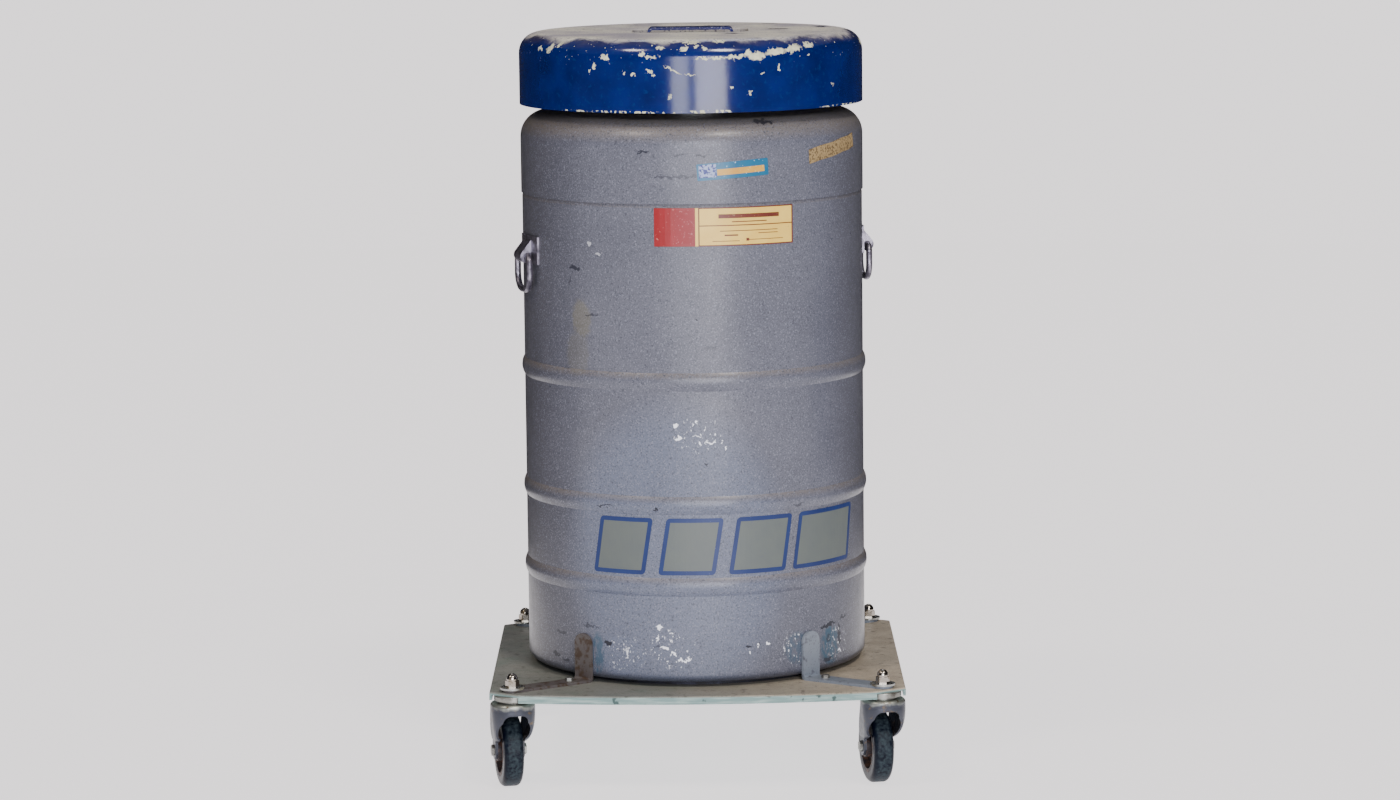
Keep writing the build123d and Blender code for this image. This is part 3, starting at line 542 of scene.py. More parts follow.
@dataclass(frozen=True)
class DeckPaint:
    """Worn paint on the folded deck: grey-green on the left, tan on the right, pale mint on the flange."""

    name: str = "deck_paint_worn"
    top: float = 110.0
    ground: str = "#6C6F6A"
    cloud: str = "#7B7C76"
    green: str = "#667068"
    tan: str = "#A69A87"
    pale: str = "#BAAE9A"
    dirt: str = "#3C3934"
    flange: str = "#6A8583"
    flange_bright: str = "#8EA4A0"
    knock: str = "#2C4644"
    # a thin painted shadow of each strap foot's edge, from the foot to its kingpin
    strap_shadow: Mark = Mark(0.0, 0.0, 38.0, 0.9, 34.7)
    strap_shadow_middle: tuple[float, float] = (169.0, 174.5)

    def build(self) -> bpy.types.Material:
        """Make the material.

        Returns:
            The deck's paint, with a painted shadow line from each strap's foot to its kingpin.
        """
        material, tree, shader = new_surface(self.name)
        place = millimetres(tree)
        xyz = add(tree, "SeparateXYZ", {0: place})
        across = add(tree, "MapRange", {0: xyz.outputs["X"], 1: -60.0, 2: 170.0, 3: 0.0, 4: 0.85})
        # painted shadow line of the strap feet, folded to all four corners
        folded = add(tree, "VectorMath", {0: place}, operation="ABSOLUTE")
        plan = add(tree, "VectorMath",
                   {0: folded, 1: (1.0, 1.0, 0.0)}, operation="MULTIPLY")
        local = add(tree, "Mapping",
                    {"Vector": plan, "Location": (*self.strap_shadow_middle, 0.0),
                     "Rotation": (0.0, 0.0, math.radians(self.strap_shadow.tilt)),
                     "Scale": (self.strap_shadow.half_width, self.strap_shadow.half_height, 1.0)}, vector_type="TEXTURE")
        span = add(tree, "VectorMath", {0: local}, operation="LENGTH")
        line = add(tree, "MapRange", {0: span.outputs["Value"], 1: 1.1, 2: 0.8})
        low = add(tree, "MapRange", {0: xyz.outputs["Z"], 1: self.top - 0.8, 2: self.top - 2.0})
        lip = coats(tree, self.flange, [
            (grain(tree, place, 9, 4, (0.45, 0.65), stretch=(0.3, 0.3, 3.0)), self.flange_bright),
            (grain(tree, place, 13, 5, (0.62, 0.66)), self.knock),
        ])
        colour = coats(tree, self.ground, [
            (grain(tree, place, 45, 4, (0.3, 0.7)), self.cloud),
            (grain(tree, place, 30, 3, (0.48, 0.75)), self.green),
            (across, coats(tree, self.tan, [(grain(tree, place, 22, 4, (0.4, 0.7)),
                                                              self.pale)])),
            (grain(tree, place, 9, 6, (0.58, 0.76)), self.dirt),
            (grain(tree, place, 1.5, 2, (0.58, 0.78)), self.dirt),
            # painted shadow of the strap foot's edge
            (line, self.dirt),
            (low, lip),
        ])
        feed(tree, shader, {
            "Base Color": colour,
            "Normal": uneven(tree, [(grain(tree, place, 3, 3), 0.08)]),
            "Roughness": grain(tree, place, 12, 4, out=(0.36, 0.66)),
        })
        return material


@dataclass(frozen=True)
class Metal:
    """Bare or plated metal: a base colour, dirt in patches and a grain direction."""

    name: str
    ground: str
    dirt: str
    dirt_cut: tuple[float, float] = (0.5, 0.7)
    roughness: tuple[float, float] = (0.3, 0.5)
    stretch: tuple[float, float, float] = (1.0, 1.0, 1.0)
    grain_size: float = 2.0
    depth: float = 0.03
    dirty_metallic: float = 0.35

    def build(self) -> bpy.types.Material:
        """Make the material.

        Returns:
            The metal.
        """
        material, tree, shader = new_surface(self.name)
        place = millimetres(tree)
        dirty = grain(tree, place, 10, 5, self.dirt_cut)
        clean = add(tree, "MapRange", {0: dirty, 3: 1.0, 4: self.dirty_metallic})
        fine = grain(tree, place, self.grain_size, 3, stretch=self.stretch)
        rough = add(tree, "MapRange",
                    {0: fine, 1: 0.2, 2: 0.8, 3: self.roughness[0], 4: self.roughness[1]})
        feed(tree, shader, {
            "Base Color": coats(tree, self.ground, [(dirty, self.dirt)]),
            "Metallic": clean,
            "Normal": uneven(tree, [(fine, self.depth)]),
            "Roughness": rough,
        })
        return material


@dataclass(frozen=True)
class ForkPlate:
    """Pressed and zinc-plated steel of a caster fork: bright on the hood, with painted shade lower down under the
    deck.
    """

    name: str = "fork_zinc_pressed"
    ground: str = "#A8ACA2"
    # dark navy of the painted shade under the deck
    low: str = "#101630"
    rust: str = "#5A4C3C"
    bright_above: float = 99.0
    dark_below: float = 93.0

    def build(self) -> bpy.types.Material:
        """Make the material.

        Returns:
            The plated steel.
        """
        material, tree, shader = new_surface(self.name)
        place = millimetres(tree)
        height = add(tree, "SeparateXYZ", {0: place}).outputs["Z"]
        wander = add(tree, "Math",
                     {0: grain(tree, place, 9, 4, out=(-5.0, 5.0)), 1: height}, operation="ADD")
        # painted shade below the deck: darker and less metallic lower down
        shaded_below = add(tree, "MapRange",
                    {0: wander, 1: self.bright_above, 2: self.dark_below,
                                                 3: 0.1, 4: 0.92})
        metallic = add(tree, "MapRange", {0: shaded_below, 3: 1.0, 4: 0.3})
        colour = coats(tree, self.ground, [
            (shaded_below, self.low),
            (grain(tree, place, 7, 5, (0.6, 0.72)), self.rust),
        ])
        feed(tree, shader, {
            "Base Color": colour,
            "Metallic": metallic,
            "Normal": uneven(tree, [(grain(tree, place, 2.5, 3), 0.05)]),
            "Roughness": grain(tree, place, 6, 4, out=(0.24, 0.5)),
        })
        return material


@dataclass(frozen=True)
class TyreRubber:
    """Solid moulded rubber: blue-black, scuffed grey along the middle of the tread."""

    name: str
    centre: tuple[float, float, float]
    axle: tuple[float, float]
    ground: str = "#070B18"
    cloud: str = "#0E1422"
    scuff: str = "#323D42"
    tread: float = 7.0

    def build(self) -> bpy.types.Material:
        """Make the material.

        Returns:
            The worn rubber of one wheel.
        """
        material, tree, shader = new_surface(self.name)
        place = millimetres(tree)
        moved = add(tree, "VectorMath", {0: place, 1: self.centre}, operation="SUBTRACT").outputs[0]
        across = add(tree, "VectorMath", {0: moved, 1: (*self.axle, 0.0)}, operation="DOT_PRODUCT")
        side = add(tree, "Math", {0: across.outputs["Value"]}, operation="ABSOLUTE").outputs[0]
        reach = add(tree, "VectorMath", {0: moved}, operation="LENGTH").outputs["Value"]
        rough = add(tree, "Math",
                    {0: grain(tree, place, 6, 5, out=(-3.5, 3.5)), 1: side}, operation="ADD")
        crown = add(tree, "MapRange",
                    {0: rough, 1: self.tread + 3.0, 2: self.tread - 1.0})
        outside = add(tree, "MapRange", {0: reach, 1: 34.0, 2: 38.0})
        worn = add(tree, "Math", {0: crown, 1: outside}, operation="MULTIPLY")
        speckled = add(tree, "Math",
                       {0: worn, 1: grain(tree, place, 3.5, 5, (0.34, 0.74))},
                       operation="MULTIPLY").outputs[0]
        dull = add(tree, "MapRange", {0: speckled, 3: 0.30, 4: 0.7})
        colour = coats(tree, self.ground, [
            (grain(tree, place, 12, 4, (0.45, 0.8)), self.cloud),
            (speckled, self.scuff),
        ])
        # dull rubber throws back less than glass would
        feed(tree, shader, {
            "Base Color": colour,
            "Normal": uneven(tree, [(grain(tree, place, 2.5, 3), 0.12)]),
            "Roughness": dull,
            "Specular IOR Level": 0.1,
        })
        return material


@dataclass(frozen=True)
class Print:
    """Printed vinyl or paper: one ink colour, faded in clouds and rubbed through in places."""

    name: str
    ink: str
    faded: str
    under: str
    rub_cut: tuple[float, float] = (0.66, 0.72)
    rub_size: float = 4.0
    roughness: float = 0.35

    def build(self) -> bpy.types.Material:
        """Make the material.

        Returns:
            The printed skin.
        """
        material, tree, shader = new_surface(self.name)
        place = millimetres(tree)
        rubbed = grain(tree, place, self.rub_size, 6, self.rub_cut)
        colour = coats(tree, self.ink, [
            (grain(tree, place, 18, 4, (0.3, 0.75)), self.faded),
            (rubbed, self.under),
        ])
        feed(tree, shader, {
            "Base Color": colour,
            "Normal": uneven(tree, [(rubbed, -0.05)]),
            "Roughness": self.roughness,
        })
        return material


@dataclass(frozen=True)
class StudioFloor:
    """Matt opal sheet lit from below, which keeps a pale floor without hard shadows."""

    name: str = "studio_opal_sheet"
    colour: str = "#8C898B"
    glow: str = "#E9E5E7"
    strength: float = 1.72

    def build(self) -> bpy.types.Material:
        """Make the material.

        Returns:
            The floor's surface.
        """
        material, tree, shader = new_surface(self.name)
        feed(tree, shader, {
            "Base Color": srgb(self.colour),
            "Roughness": 0.9,
            "Specular IOR Level": 0.1,
            "Emission Color": srgb(self.glow),
            "Emission Strength": self.strength,
        })
        return material


def dress(node: str, material: bpy.types.Material) -> None:
    """Give a CAD node one material over its whole surface.

    Args:
        node: name of the CAD node.
        material: of the whole node.
    """
    mesh = frame["nodes"][node].data
    mesh.materials.clear()
    mesh.materials.append(material)
    log.info("dressed %s in %s", node, material.name)


def add_piece(name: str, form: bmesh.types.BMesh, material: bpy.types.Material, body: str,
              smooth: bool = True) -> bpy.types.Object:
    """Turn a finished bmesh into a piece of the object.

    Args:
        name: of the piece.
        form: the bmesh in metres, in place; it is freed.
        material: of the whole piece.
        body: CAD body that it rides on.
        smooth: smooth shading.

    Returns:
        The new object.
    """
    mesh = bpy.data.meshes.new(name)
    form.to_mesh(mesh)
    form.free()
    mesh.materials.append(material)
    for face in mesh.polygons:
        face.use_smooth = smooth
    piece = bpy.data.objects.new(name, mesh)
    bpy.context.scene.collection.objects.link(piece)
    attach(piece, body)
    log.info("made %s on %s", name, body)
    return piece


# ------------------------------------------------------------------ drum
@dataclass
class Drum:
    """The grey drum with its head, its flask and its neck."""

    # sprayed enamel: a low satin gloss that stretches each light into a soft upright band
    enamel: DrumEnamel = DrumEnamel()
    head_enamel: DrumEnamel = DrumEnamel(name="head_enamel_sprayed", radius=HEAD_RADIUS)
    # spun aluminium: bright rings drawn round the axis
    aluminium: Metal = Metal("aluminium_spun", "#B6B8BA", "#8E8F90", roughness=(0.28, 0.42),
                             stretch=(0.2, 0.2, 3.0))
    # a sheet aluminium ring that never saw a brush, painted nearly black as the shade in the gap under the drum
    ring: Metal = Metal("aluminium_ring_painted_shade", "#3C3D48", "#12131C", (0.35, 0.6), (0.45, 0.65))
    # crinkled foil: large soft creases that flash here and there
    foil: Metal = Metal("foil_wrap_crinkled", "#D2D2CE", "#B8B8B2", roughness=(0.25, 0.4), grain_size=12.0,
                        depth=1.2)
    # cast glass-fibre resin: straw yellow and slightly cloudy
    fibre: PlainPaint = PlainPaint("glass_fibre_resin_cast", "#A39868", "#94895A", "#7A7048")
    # moulded rubber: dead black with a dull bloom
    cap: PlainPaint = PlainPaint("rubber_cap_moulded", "#1C1C20", "#151517", "#2C2B30", roughness=(0.5, 0.7))

    def build(self) -> None:
        """Dress the drum's CAD nodes."""
        dress("body_shell", self.enamel.build())
        dress("top_head", self.head_enamel.build())
        aluminium = self.aluminium.build()
        for node in ("flask_lower_half", "flask_upper_half", "neck_collar", "vacuum_port"):
            dress(node, aluminium)
        # painted shade: the foot ring is darkened for the gap under the drum
        dress("foot_ring", self.ring.build())
        dress("insulation_wrap", self.foil.build())
        dress("neck_tube", self.fibre.build())
        dress("vacuum_port_cap", self.cap.build())


# ------------------------------------------------------------------ labels
class Shape(Enum):
    """Outline of a printed field."""

    OBLONG = "oblong"
    SLANTED = "slanted"
    TORN = "torn"


@dataclass(frozen=True)
class Field:
    """One printed field wrapped round the drum, in azimuth degrees and millimetres of height."""

    name: str
    finish: Print
    left: float
    right: float
    low: float
    high: float
    layer: int = 1
    tilt: float = 0.0
    shape: Shape = Shape.OBLONG
    slant: float = 0.0
    corner: float = 0.6
    hollow: float = 0.0
    radius: float = DRUM_RADIUS

    layer_step: ClassVar[float] = 0.12
    film: ClassVar[float] = 0.1
    bend_step: ClassVar[float] = 6.0
    tear_across: ClassVar[tuple[float, ...]] = (-1.0, -0.55, -0.1, 0.35, 0.7, 1.0)
    tear_low: ClassVar[tuple[float, ...]] = (0.02, 0.12, 0.05, 0.14, 0.03, 0.1)
    tear_high: ClassVar[tuple[float, ...]] = (-0.16, -0.03, -0.12, -0.02, -0.14, -0.04)
    tear_taper: ClassVar[float] = 0.97
    sort_by: ClassVar[Vector] = Vector((1.0, 17.3, 311.7))

    def outline(self) -> list[tuple[float, float]]:
        """Work out the corner points about the field's centre.

        Returns:
            Millimetres along the arc and up, anticlockwise.
        """
        half = math.radians(self.right - self.left) / 2 * self.radius
        tall = (self.high - self.low) / 2
        if self.shape is Shape.TORN:
            points = [(a * half, (b - 1) * tall) for a, b in zip(self.tear_across, self.tear_low)]
            upper = list(zip(self.tear_across, self.tear_high))
            return points + [(a * half * self.tear_taper, (1 + b) * tall) for a, b in reversed(upper)]
        lean = self.slant / 2
        return [(-half - lean, -tall), (half - lean, -tall), (half + lean, tall), (-half + lean, tall)]

    def build(self, body: str, slot: str) -> bpy.types.Object:
        """Make the field as a thin sheet on the drum.

        Args:
            body: CAD body that it rides on.
            slot: the record's material slot; not used.

        Returns:
            The new piece.
        """
        form = bmesh.new()
        corners = [form.verts.new((x, y, 0.0)) for x, y in self.outline()]
        form.faces.new(corners)
        if self.corner > 0:
            bmesh.ops.bevel(form, geom=form.verts[:], offset=self.corner, affect="VERTICES", segments=4,
                            profile=0.5, material=-1, clamp_overlap=True)
        form.normal_update()
        if self.hollow > 0:
            bmesh.ops.inset_region(form, faces=form.faces[:], thickness=self.hollow, use_even_offset=True,
                                   use_boundary=True)
            inner = max(form.faces, key=lambda f: f.calc_area())
            bmesh.ops.delete(form, geom=[inner], context="FACES_ONLY")
        turn = Matrix.Rotation(math.radians(self.tilt), 3, "Z")
        middle = math.radians(self.left + self.right) / 2 * self.radius
        bmesh.ops.rotate(form, verts=form.verts[:], matrix=turn)
        bmesh.ops.translate(form, verts=form.verts[:], vec=(middle, (self.low + self.high) / 2, 0.0))
        low = min(v.co.x for v in form.verts)
        high = max(v.co.x for v in form.verts)
        for i in range(1, int((high - low) / self.bend_step) + 1):
            bmesh.ops.bisect_plane(form, geom=form.verts[:] + form.edges[:] + form.faces[:], dist=1e-5,
                                   plane_co=(low + i * self.bend_step, 0, 0), plane_no=(1, 0, 0))
        bmesh.ops.triangulate(form, faces=form.faces[:])
        skin = bmesh.ops.extrude_face_region(form, geom=form.faces[:])
        raised = [v for v in skin["geom"] if isinstance(v, bmesh.types.BMVert)]
        bmesh.ops.translate(form, verts=raised, vec=(0.0, 0.0, self.film))
        base = self.radius + self.layer * self.layer_step
        for vert in form.verts:
            arc, height, lift = vert.co
            reach = (base + lift) * MM
            vert.co = (reach * math.sin(arc / self.radius), -reach * math.cos(arc / self.radius), height * MM)
        bmesh.ops.recalc_face_normals(form, faces=form.faces[:])
        # the operators leave their elements in no fixed order, so they are put in one by their place
        form.verts.sort(key=lambda v: v.co.dot(self.sort_by))
        form.faces.sort(key=lambda f: f.calc_center_median().dot(self.sort_by))
        return add_piece(self.name, form, self.finish.build(), body, smooth=False)


@dataclass
class Labels:
    """The printed fields on the drum: a nameplate, a sticker, a tape remnant and a band of shapes."""

    # gloss ink on a vinyl label: strong red with a wet shine
    red: Print = Print("label_ink_red", "#86060E", "#90101A", "#B8605A", (0.64, 0.72), 3.0, 0.28)
    # the same ink, duller and flecked pink: a painted glare on the red field
    red_painted_glare: Print = Print("label_ink_red_painted_glare", "#841018", "#8E1A22", "#B06064", (0.58, 0.70), 2.2, 0.4)
    # varnished paper: warm cream with small brown stains
    cream: Print = Print("label_paper_varnished", "#E8C460", "#E0B850", "#B89450", (0.70, 0.78), 3.0)
    # screen-printed brown ink: flat and a little broken
    brown: Print = Print("label_ink_brown", "#5A1E10", "#6A2A18", "#C0A070", (0.66, 0.74), 2.0)
    # faded sticker ink: green-blue with white scuffs
    teal: Print = Print("sticker_ink_teal", "#04587E", "#04688A", "#A8C4DA", (0.64, 0.70), 3.0, 0.3)
    # paper under the rubbed ink: mustard yellow
    orange: Print = Print("sticker_paper_mustard", "#C48A2A", "#CFA850", "#D8C48C", (0.62, 0.72), 3.0)
    # torn sticker corner: pale lilac crossed by navy remains
    pale: Print = Print("sticker_torn_corner", "#A4AED0", "#8496C0", "#1C2C7C", (0.50, 0.56), 2.6)
    # aged masking tape: fibrous light brown
    tape: Print = Print("masking_tape_aged", "#86704A", "#9C865E", "#5E4C30", (0.50, 0.58), 2.4, 0.7)
    # cut vinyl lettering film: deep blue, slightly raised
    blue: Print = Print("band_film_blue", "#021E56", "#042660", "#3A4C7C", (0.68, 0.76), 3.0)
    # cut vinyl film: greenish grey, close to the drum's own colour
    fill: Print = Print("band_film_grey", "#585F5C", "#545B5B", "#505462", (0.66, 0.76), 4.0, 0.45)

    # left, right, low and high of the bars that stand for small print
    bar_places: tuple[tuple[float, float, float, float], ...] = (
        (9.0, 29.0, 605.2, 605.9), (22.0, 29.0, 602.0, 602.7), (10.5, 15.0, 600.2, 601.6),
        (6.5, 15.5, 594.4, 595.0), (18.0, 31.0, 595.4, 596.0),
    )

    def small_bars(self) -> list[Field]:
        """The nameplate's small brown bars."""
        return [Field(f"nameplate_small_bar_{i}", self.brown, *place, 3, corner=0.0)
                for i, place in enumerate(self.bar_places, 1)]

    def fields(self) -> list[Field]:
        """List every printed field, lowest layer first.

        Returns:
            The fields.
        """
        made = [
            Field("nameplate_border", self.brown, -12.6, 34.9, 589.5, 631.0),
            Field("nameplate_red_field", self.red, -12.6, 0.8, 589.8, 630.6, 2),
            # painted glare over part of the red field
            Field("nameplate_red_glare", self.red_painted_glare, -5.6, 0.2, 590.4, 630.0, 3, 0.0,
                  Shape.TORN, corner=0.0),
            Field("nameplate_red_strip", self.red, 0.2, 0.9, 590.4, 630.0, 3, corner=0.0),
            Field("nameplate_edge_strip", self.cream, 0.8, 1.9, 589.8, 630.6, 2, corner=0.0),
            Field("nameplate_panel", self.cream, 2.3, 34.4, 590.8, 629.8, 2),
            Field("nameplate_rule", self.brown, 2.3, 34.4, 611.0, 612.0, 3, corner=0.0),
            Field("nameplate_title_bar", self.brown, 8.5, 29.5, 619.2, 623.6, 3, corner=0.5),
            Field("nameplate_note_bar", self.brown, 13.0, 25.0, 614.8, 615.8, 3, corner=0.0),
            *self.small_bars(),
            Field("nameplate_dot", self.brown, 17.8, 18.8, 594.4, 597.4, 3, corner=0.0),
            Field("sticker_ground", self.teal, 1.6, 25.6, 662.0, 680.0, 1, 3.6,
                  corner=1.2, radius=HEAD_RADIUS),
            Field("sticker_bar", self.orange, 8.2, 24.2, 666.8, 673.4, 2, 3.6,
                  corner=0.4, radius=HEAD_RADIUS),
            Field("sticker_worn_corner", self.pale, 2.2, 8.0, 662.6, 677.6, 2, 3.6,
                  Shape.TORN, radius=HEAD_RADIUS),
            Field("tape_remnant", self.tape, 41.5, 68.5, 678.5, 695.5, 1, 8.0, Shape.TORN,
                  corner=0.8, radius=HEAD_RADIUS),
        ]
        for i, (left, right) in enumerate(((-34.5, -15.7), (-11.1, 7.8), (12.3, 32.3), (35.3, 63.6)), 1):
            made.append(Field(f"band_shape_{i}_fill", self.fill, left, right, 233.5, 295.5, 1, 0.0,
                              Shape.SLANTED, 10.0, 4.0))
            made.append(Field(f"band_shape_{i}_line", self.blue, left, right, 233.5, 295.5, 2, 0.0,
                              Shape.SLANTED, 10.0, 4.0, hollow=4.6))
        return made

    def build(self) -> None:
        """Make every field."""
        for one in self.fields():
            one.build("body", "vessel_paint")


# ------------------------------------------------------------------ handles, base and casters
@dataclass
class Base:
    """The deck, its straps and its casters."""

    # brushed paint on folded sheet steel: flat and dusty on top, rubbed pale along the flange
    deck: DeckPaint = DeckPaint()
    # the strap paint darkened as painted shade on the front left strap: brown-grey with rust spots
    strap_shaded: PlainPaint = PlainPaint("strap_paint_shaded_rusted",
                                       "#54504E", "#484242", "#3A2C20", 16, 7, (0.50, 0.62))
    # sprayed paint on the other straps: the drum's own grey, little worn
    strap: PlainPaint = PlainPaint("strap_paint_sprayed",
                                   "#767E88", "#6C7480", "#484A54", 20, 8, (0.58, 0.72),
                                   (0.3, 0.5))
    # zinc plate gone dull: soft grey reflections between patches of grime
    zinc: Metal = Metal("zinc_plate_dull", "#959690", "#4E4A44", (0.44, 0.66), (0.3, 0.5))
    # polished nickel dome: small sharp glints with brown in the hollows
    nut: Metal = Metal("cap_nut_nickel_polished", "#A39C92", "#6E6048", (0.52, 0.62), (0.08, 0.18))
    # turned zinc-plated washer: bright and a little frosted
    washer: Metal = Metal("washer_zinc_turned", "#A4A6A2", "#8A8676", (0.52, 0.68), (0.2, 0.34))
    # pressed steel fork: bright where hands and feet rub, painted shade below
    fork: ForkPlate = ForkPlate()
    # moulded wheel core: brown-black with rusty dust round the axle
    core: PlainPaint = PlainPaint("wheel_core_moulded", "#2C2426", "#221C20", "#5A3C2E", 14, 7, (0.50, 0.64))
    corners: tuple[str, ...] = ("front_left", "front_right", "rear_left", "rear_right")

    def build(self) -> None:
        """Dress the base's CAD nodes."""
        dress("deck", self.deck.build())
        strap = self.strap.build()
        strap_shaded = self.strap_shaded.build()
        zinc = self.zinc.build()
        fork = self.fork.build()
        dress("clip_screws", zinc)
        dress("kingpin_cap_nuts", self.nut.build())
        dress("kingpin_washers", self.washer.build())
        core = self.core.build()
        for corner in self.corners:
            # the front left strap takes the darker copy, its painted shade
            dress(f"clip_strap_{corner}", strap_shaded if corner == self.corners[0] else strap)
            dress(f"caster_fork_{corner}", fork)
            for kind in ("caster_race", "caster_ball_cage", "caster_axle"):
                dress(f"{kind}_{corner}", zinc)
            dress(f"wheel_core_{corner}", core)
            self.dress_tyre(corner)

    def dress_tyre(self, corner: str) -> None:
        """Give one tyre its rubber, worn along its own tread.

        Args:
            corner: which of the four casters.
        """
        low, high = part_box(f"tyre_{corner}")
        centre = (low + high) / 2 / MM
        joint = next(j for j in frame["joints"] if j["name"] == f"wheel_spin_{corner}")
        finish = TyreRubber(f"rubber_tyre_{corner}", tuple(centre), tuple(joint["axis"][:2]))
        dress(f"tyre_{corner}", finish.build())


@dataclass
class Handles:
    """The two brackets with their wire bails."""

    # bent and plated steel wire: satin grey, darker with grime in the bends
    steel: Metal = Metal("handle_steel_plated", "#8F8B97", "#3A3642", (0.44, 0.64), (0.26, 0.42))

    def build(self) -> None:
        """Dress the handles' CAD nodes."""
        steel = self.steel.build()
        for side in ("left", "right"):
            dress(f"handle_bracket_{side}", steel)
            dress(f"handle_bail_{side}", steel)


# ------------------------------------------------------------------ lid
@dataclass
class Lid:
    """The blue lid with its strap handle and the foam plug."""

    # brushed gloss enamel: deep wet blue that mirrors the window as a sharp upright band
    enamel: LidEnamel = LidEnamel()
    # the same enamel on the strap, worn white on its edges
    strap: PlainPaint = PlainPaint("lid_handle_enamel_gloss",
                                   "#0A1668", "#080F52", "#B4B4C8", 30, 8, (0.62, 0.68),
                                   (0.1, 0.2))
    # soft aluminium rivets: dull silver heads
    rivet: Metal = Metal("rivet_aluminium_set", "#B4B4B4", "#7C7C80")
    # cut rigid foam: cream, matt and open-pored
    foam: PlainPaint = PlainPaint("foam_rigid_cut", "#CFC8B2", "#C2BAA4", "#A39A80", 30, 10, (0.6, 0.75),
                                  (0.8, 0.95), 0.4)

    def build(self) -> None:
        """Dress the lid's CAD nodes."""
        dress("lid_shell", self.enamel.build())
        dress("lid_handle", self.strap.build())
        rivet = self.rivet.build()
        for node in ("lid_handle_rivets", "plug_plate", "plug_screw"):
            dress(node, rivet)
        dress("neck_plug", self.foam.build())


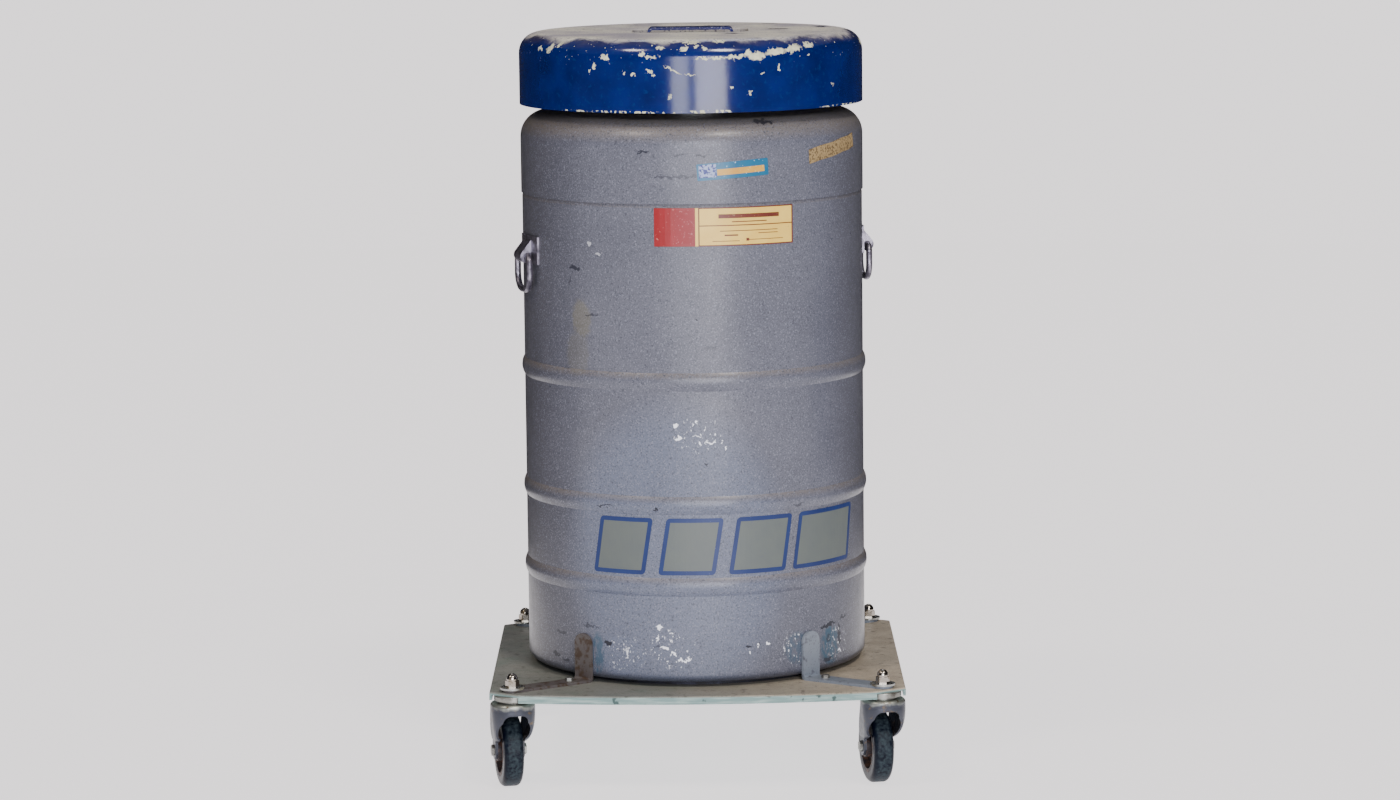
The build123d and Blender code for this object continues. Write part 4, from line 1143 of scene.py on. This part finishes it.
# ------------------------------------------------------------------ studio
@dataclass
class Studio:
    """The floor, the lights and the camera."""

    # opal sheet: an even pale ground
    paper: StudioFloor = StudioFloor()
    # black duvetyn cloth: takes stray light away
    cloth: PlainPaint = PlainPaint("flag_cloth_woven", "#0C0C0D", "#0A0A0B", "#101012", roughness=(0.9, 1.0))
    flag_foot: float = 0.01
    flag_steps: int = 48
    floor_radius: float = 45.0
    eye: Vector = field(default_factory=lambda: Vector((0.0014, -5.0, 1.0806)))
    target: Vector = field(default_factory=lambda: Vector((0.00626, 0.0, 0.3986)))
    lens: float = 116.45
    roll: float = 0.63
    room_strength: float = 0.3
    middle: Vector = field(default_factory=lambda: Vector((0.0, 0.0, 0.42)))

    def build(self) -> None:
        """Make the studio."""
        self.lay_floor()
        self.window("window_left_pane", (-0.60, -4.9, 1.15), 0.95, 2.6, 68.0, "#F4F6FF")
        self.window("window_right_pane", (1.10, -4.8, 1.15), 1.75, 2.6, 170.0, "#FAF8FF")
        self.flag("flag_room", 5.7, 3.2, 0.0, 360.0)
        self.flag("flag_rear", 1.25, 1.5, 80.0, 280.0)
        self.lamp("ceiling_right", 28.0, 52.0, 1.4, 12.0, "#FFF6EC")
        self.lamp("ceiling_left", -52.0, 52.0, 0.9, 10.0, "#FFF0E2")
        self.lamp("ceiling_rear", 178.0, 48.0, 0.55, 24.0, "#F4F5FF")
        world = bpy.data.worlds.new("studio_room")
        world.use_nodes = True
        bpy.context.scene.world = world
        world.node_tree.nodes["Background"].inputs["Color"].default_value = srgb("#E4E2E3")
        world.node_tree.nodes["Background"].inputs["Strength"].default_value = self.room_strength
        self.place_camera()

    def lay_floor(self) -> None:
        """A wide pale floor that fills the view behind the object."""
        form = bmesh.new()
        bmesh.ops.create_circle(form, cap_ends=True, segments=96, radius=self.floor_radius)
        mesh = bpy.data.meshes.new("studio_floor")
        form.to_mesh(mesh)
        form.free()
        mesh.materials.append(self.paper.build())
        floor = bpy.data.objects.new("studio_floor", mesh)
        bpy.context.scene.collection.objects.link(floor)

    def flag(self, name: str, radius: float, height: float, start: float, end: float) -> None:
        """Stand a curved black flag on the floor, out of the camera's sight, to keep reflections deep.

        Args:
            name: of the flag.
            radius: of its curve in metres, round the object.
            height: in metres.
            start: azimuth of its first edge in degrees, 0 is the front.
            end: azimuth of its last edge in degrees.
        """
        form = bmesh.new()
        turn = math.radians(start)
        foot = form.verts.new((radius * math.sin(turn), -radius * math.cos(turn), self.flag_foot))
        head = form.verts.new((foot.co.x, foot.co.y, height))
        edge = form.edges.new((foot, head))
        bmesh.ops.spin(form, geom=[foot, head, edge], axis=(0, 0, 1), cent=(0, 0, 0), steps=self.flag_steps,
                       angle=math.radians(end - start), use_merge=end - start >= 360.0)
        mesh = bpy.data.meshes.new(name)
        form.to_mesh(mesh)
        form.free()
        mesh.materials.append(self.cloth.build())
        flag = bpy.data.objects.new(name, mesh)
        bpy.context.scene.collection.objects.link(flag)
        flag.visible_camera = False
        flag.visible_shadow = False

    def lamp(self, name: str, azimuth: float, elevation: float, strength: float, spread: float,
             colour: str) -> None:
        """Hang one far ceiling lamp.

        Args:
            name: of the lamp.
            azimuth: degrees to the right of the front.
            elevation: degrees above the floor.
            strength: in watts per square metre.
            spread: of its disc in degrees.
            colour: sRGB hex.
        """
        data = bpy.data.lights.new(name, "SUN")
        data.energy = strength
        data.angle = math.radians(spread)
        data.color = srgb(colour)[:3]
        lamp = bpy.data.objects.new(name, data)
        bpy.context.scene.collection.objects.link(lamp)
        turn, rise = math.radians(azimuth), math.radians(elevation)
        away = Vector((math.sin(turn) * math.cos(rise), -math.cos(turn) * math.cos(rise), math.sin(rise)))
        lamp.rotation_euler = away.to_track_quat("Z", "Y").to_euler()

    def window(self, name: str, place: tuple[float, float, float], width: float, height: float, power: float,
               colour: str) -> None:
        """Hang one soft pane of light, turned to the middle of the object.

        Args:
            name: of the light.
            place: its centre in metres.
            width: of the panel in metres.
            height: of the panel in metres.
            power: in watts.
            colour: sRGB hex.
        """
        data = bpy.data.lights.new(name, "AREA")
        data.shape = "RECTANGLE"
        data.size = width
        data.size_y = height
        data.energy = power
        data.color = srgb(colour)[:3]
        lamp = bpy.data.objects.new(name, data)
        bpy.context.scene.collection.objects.link(lamp)
        lamp.location = place
        lamp.rotation_euler = (self.middle - Vector(place)).to_track_quat("-Z", "Y").to_euler()
        lamp.visible_camera = False

    def place_camera(self) -> None:
        """Stand the camera in front, a little above the lid's height."""
        data = bpy.data.cameras.new("camera")
        data.lens = self.lens
        data.sensor_width = 36.0
        data.dof.use_dof = False
        camera = bpy.data.objects.new("camera", data)
        bpy.context.scene.collection.objects.link(camera)
        aim = (self.target - self.eye).to_track_quat("-Z", "Y").to_matrix().to_4x4()
        roll = Matrix.Rotation(math.radians(-self.roll), 4, "Z")
        camera.matrix_world = Matrix.Translation(self.eye) @ aim @ roll
        bpy.context.scene.camera = camera


def main() -> None:
    """Build every sub-assembly in order and report it."""
    logging.basicConfig(level=logging.INFO, format="%(message)s")
    for part in (Drum(), Labels(), Handles(), Base(), Lid(), Studio()):
        part.build()
        log.info("built %s", type(part).__name__)


if __name__ == "__main__":
    main()
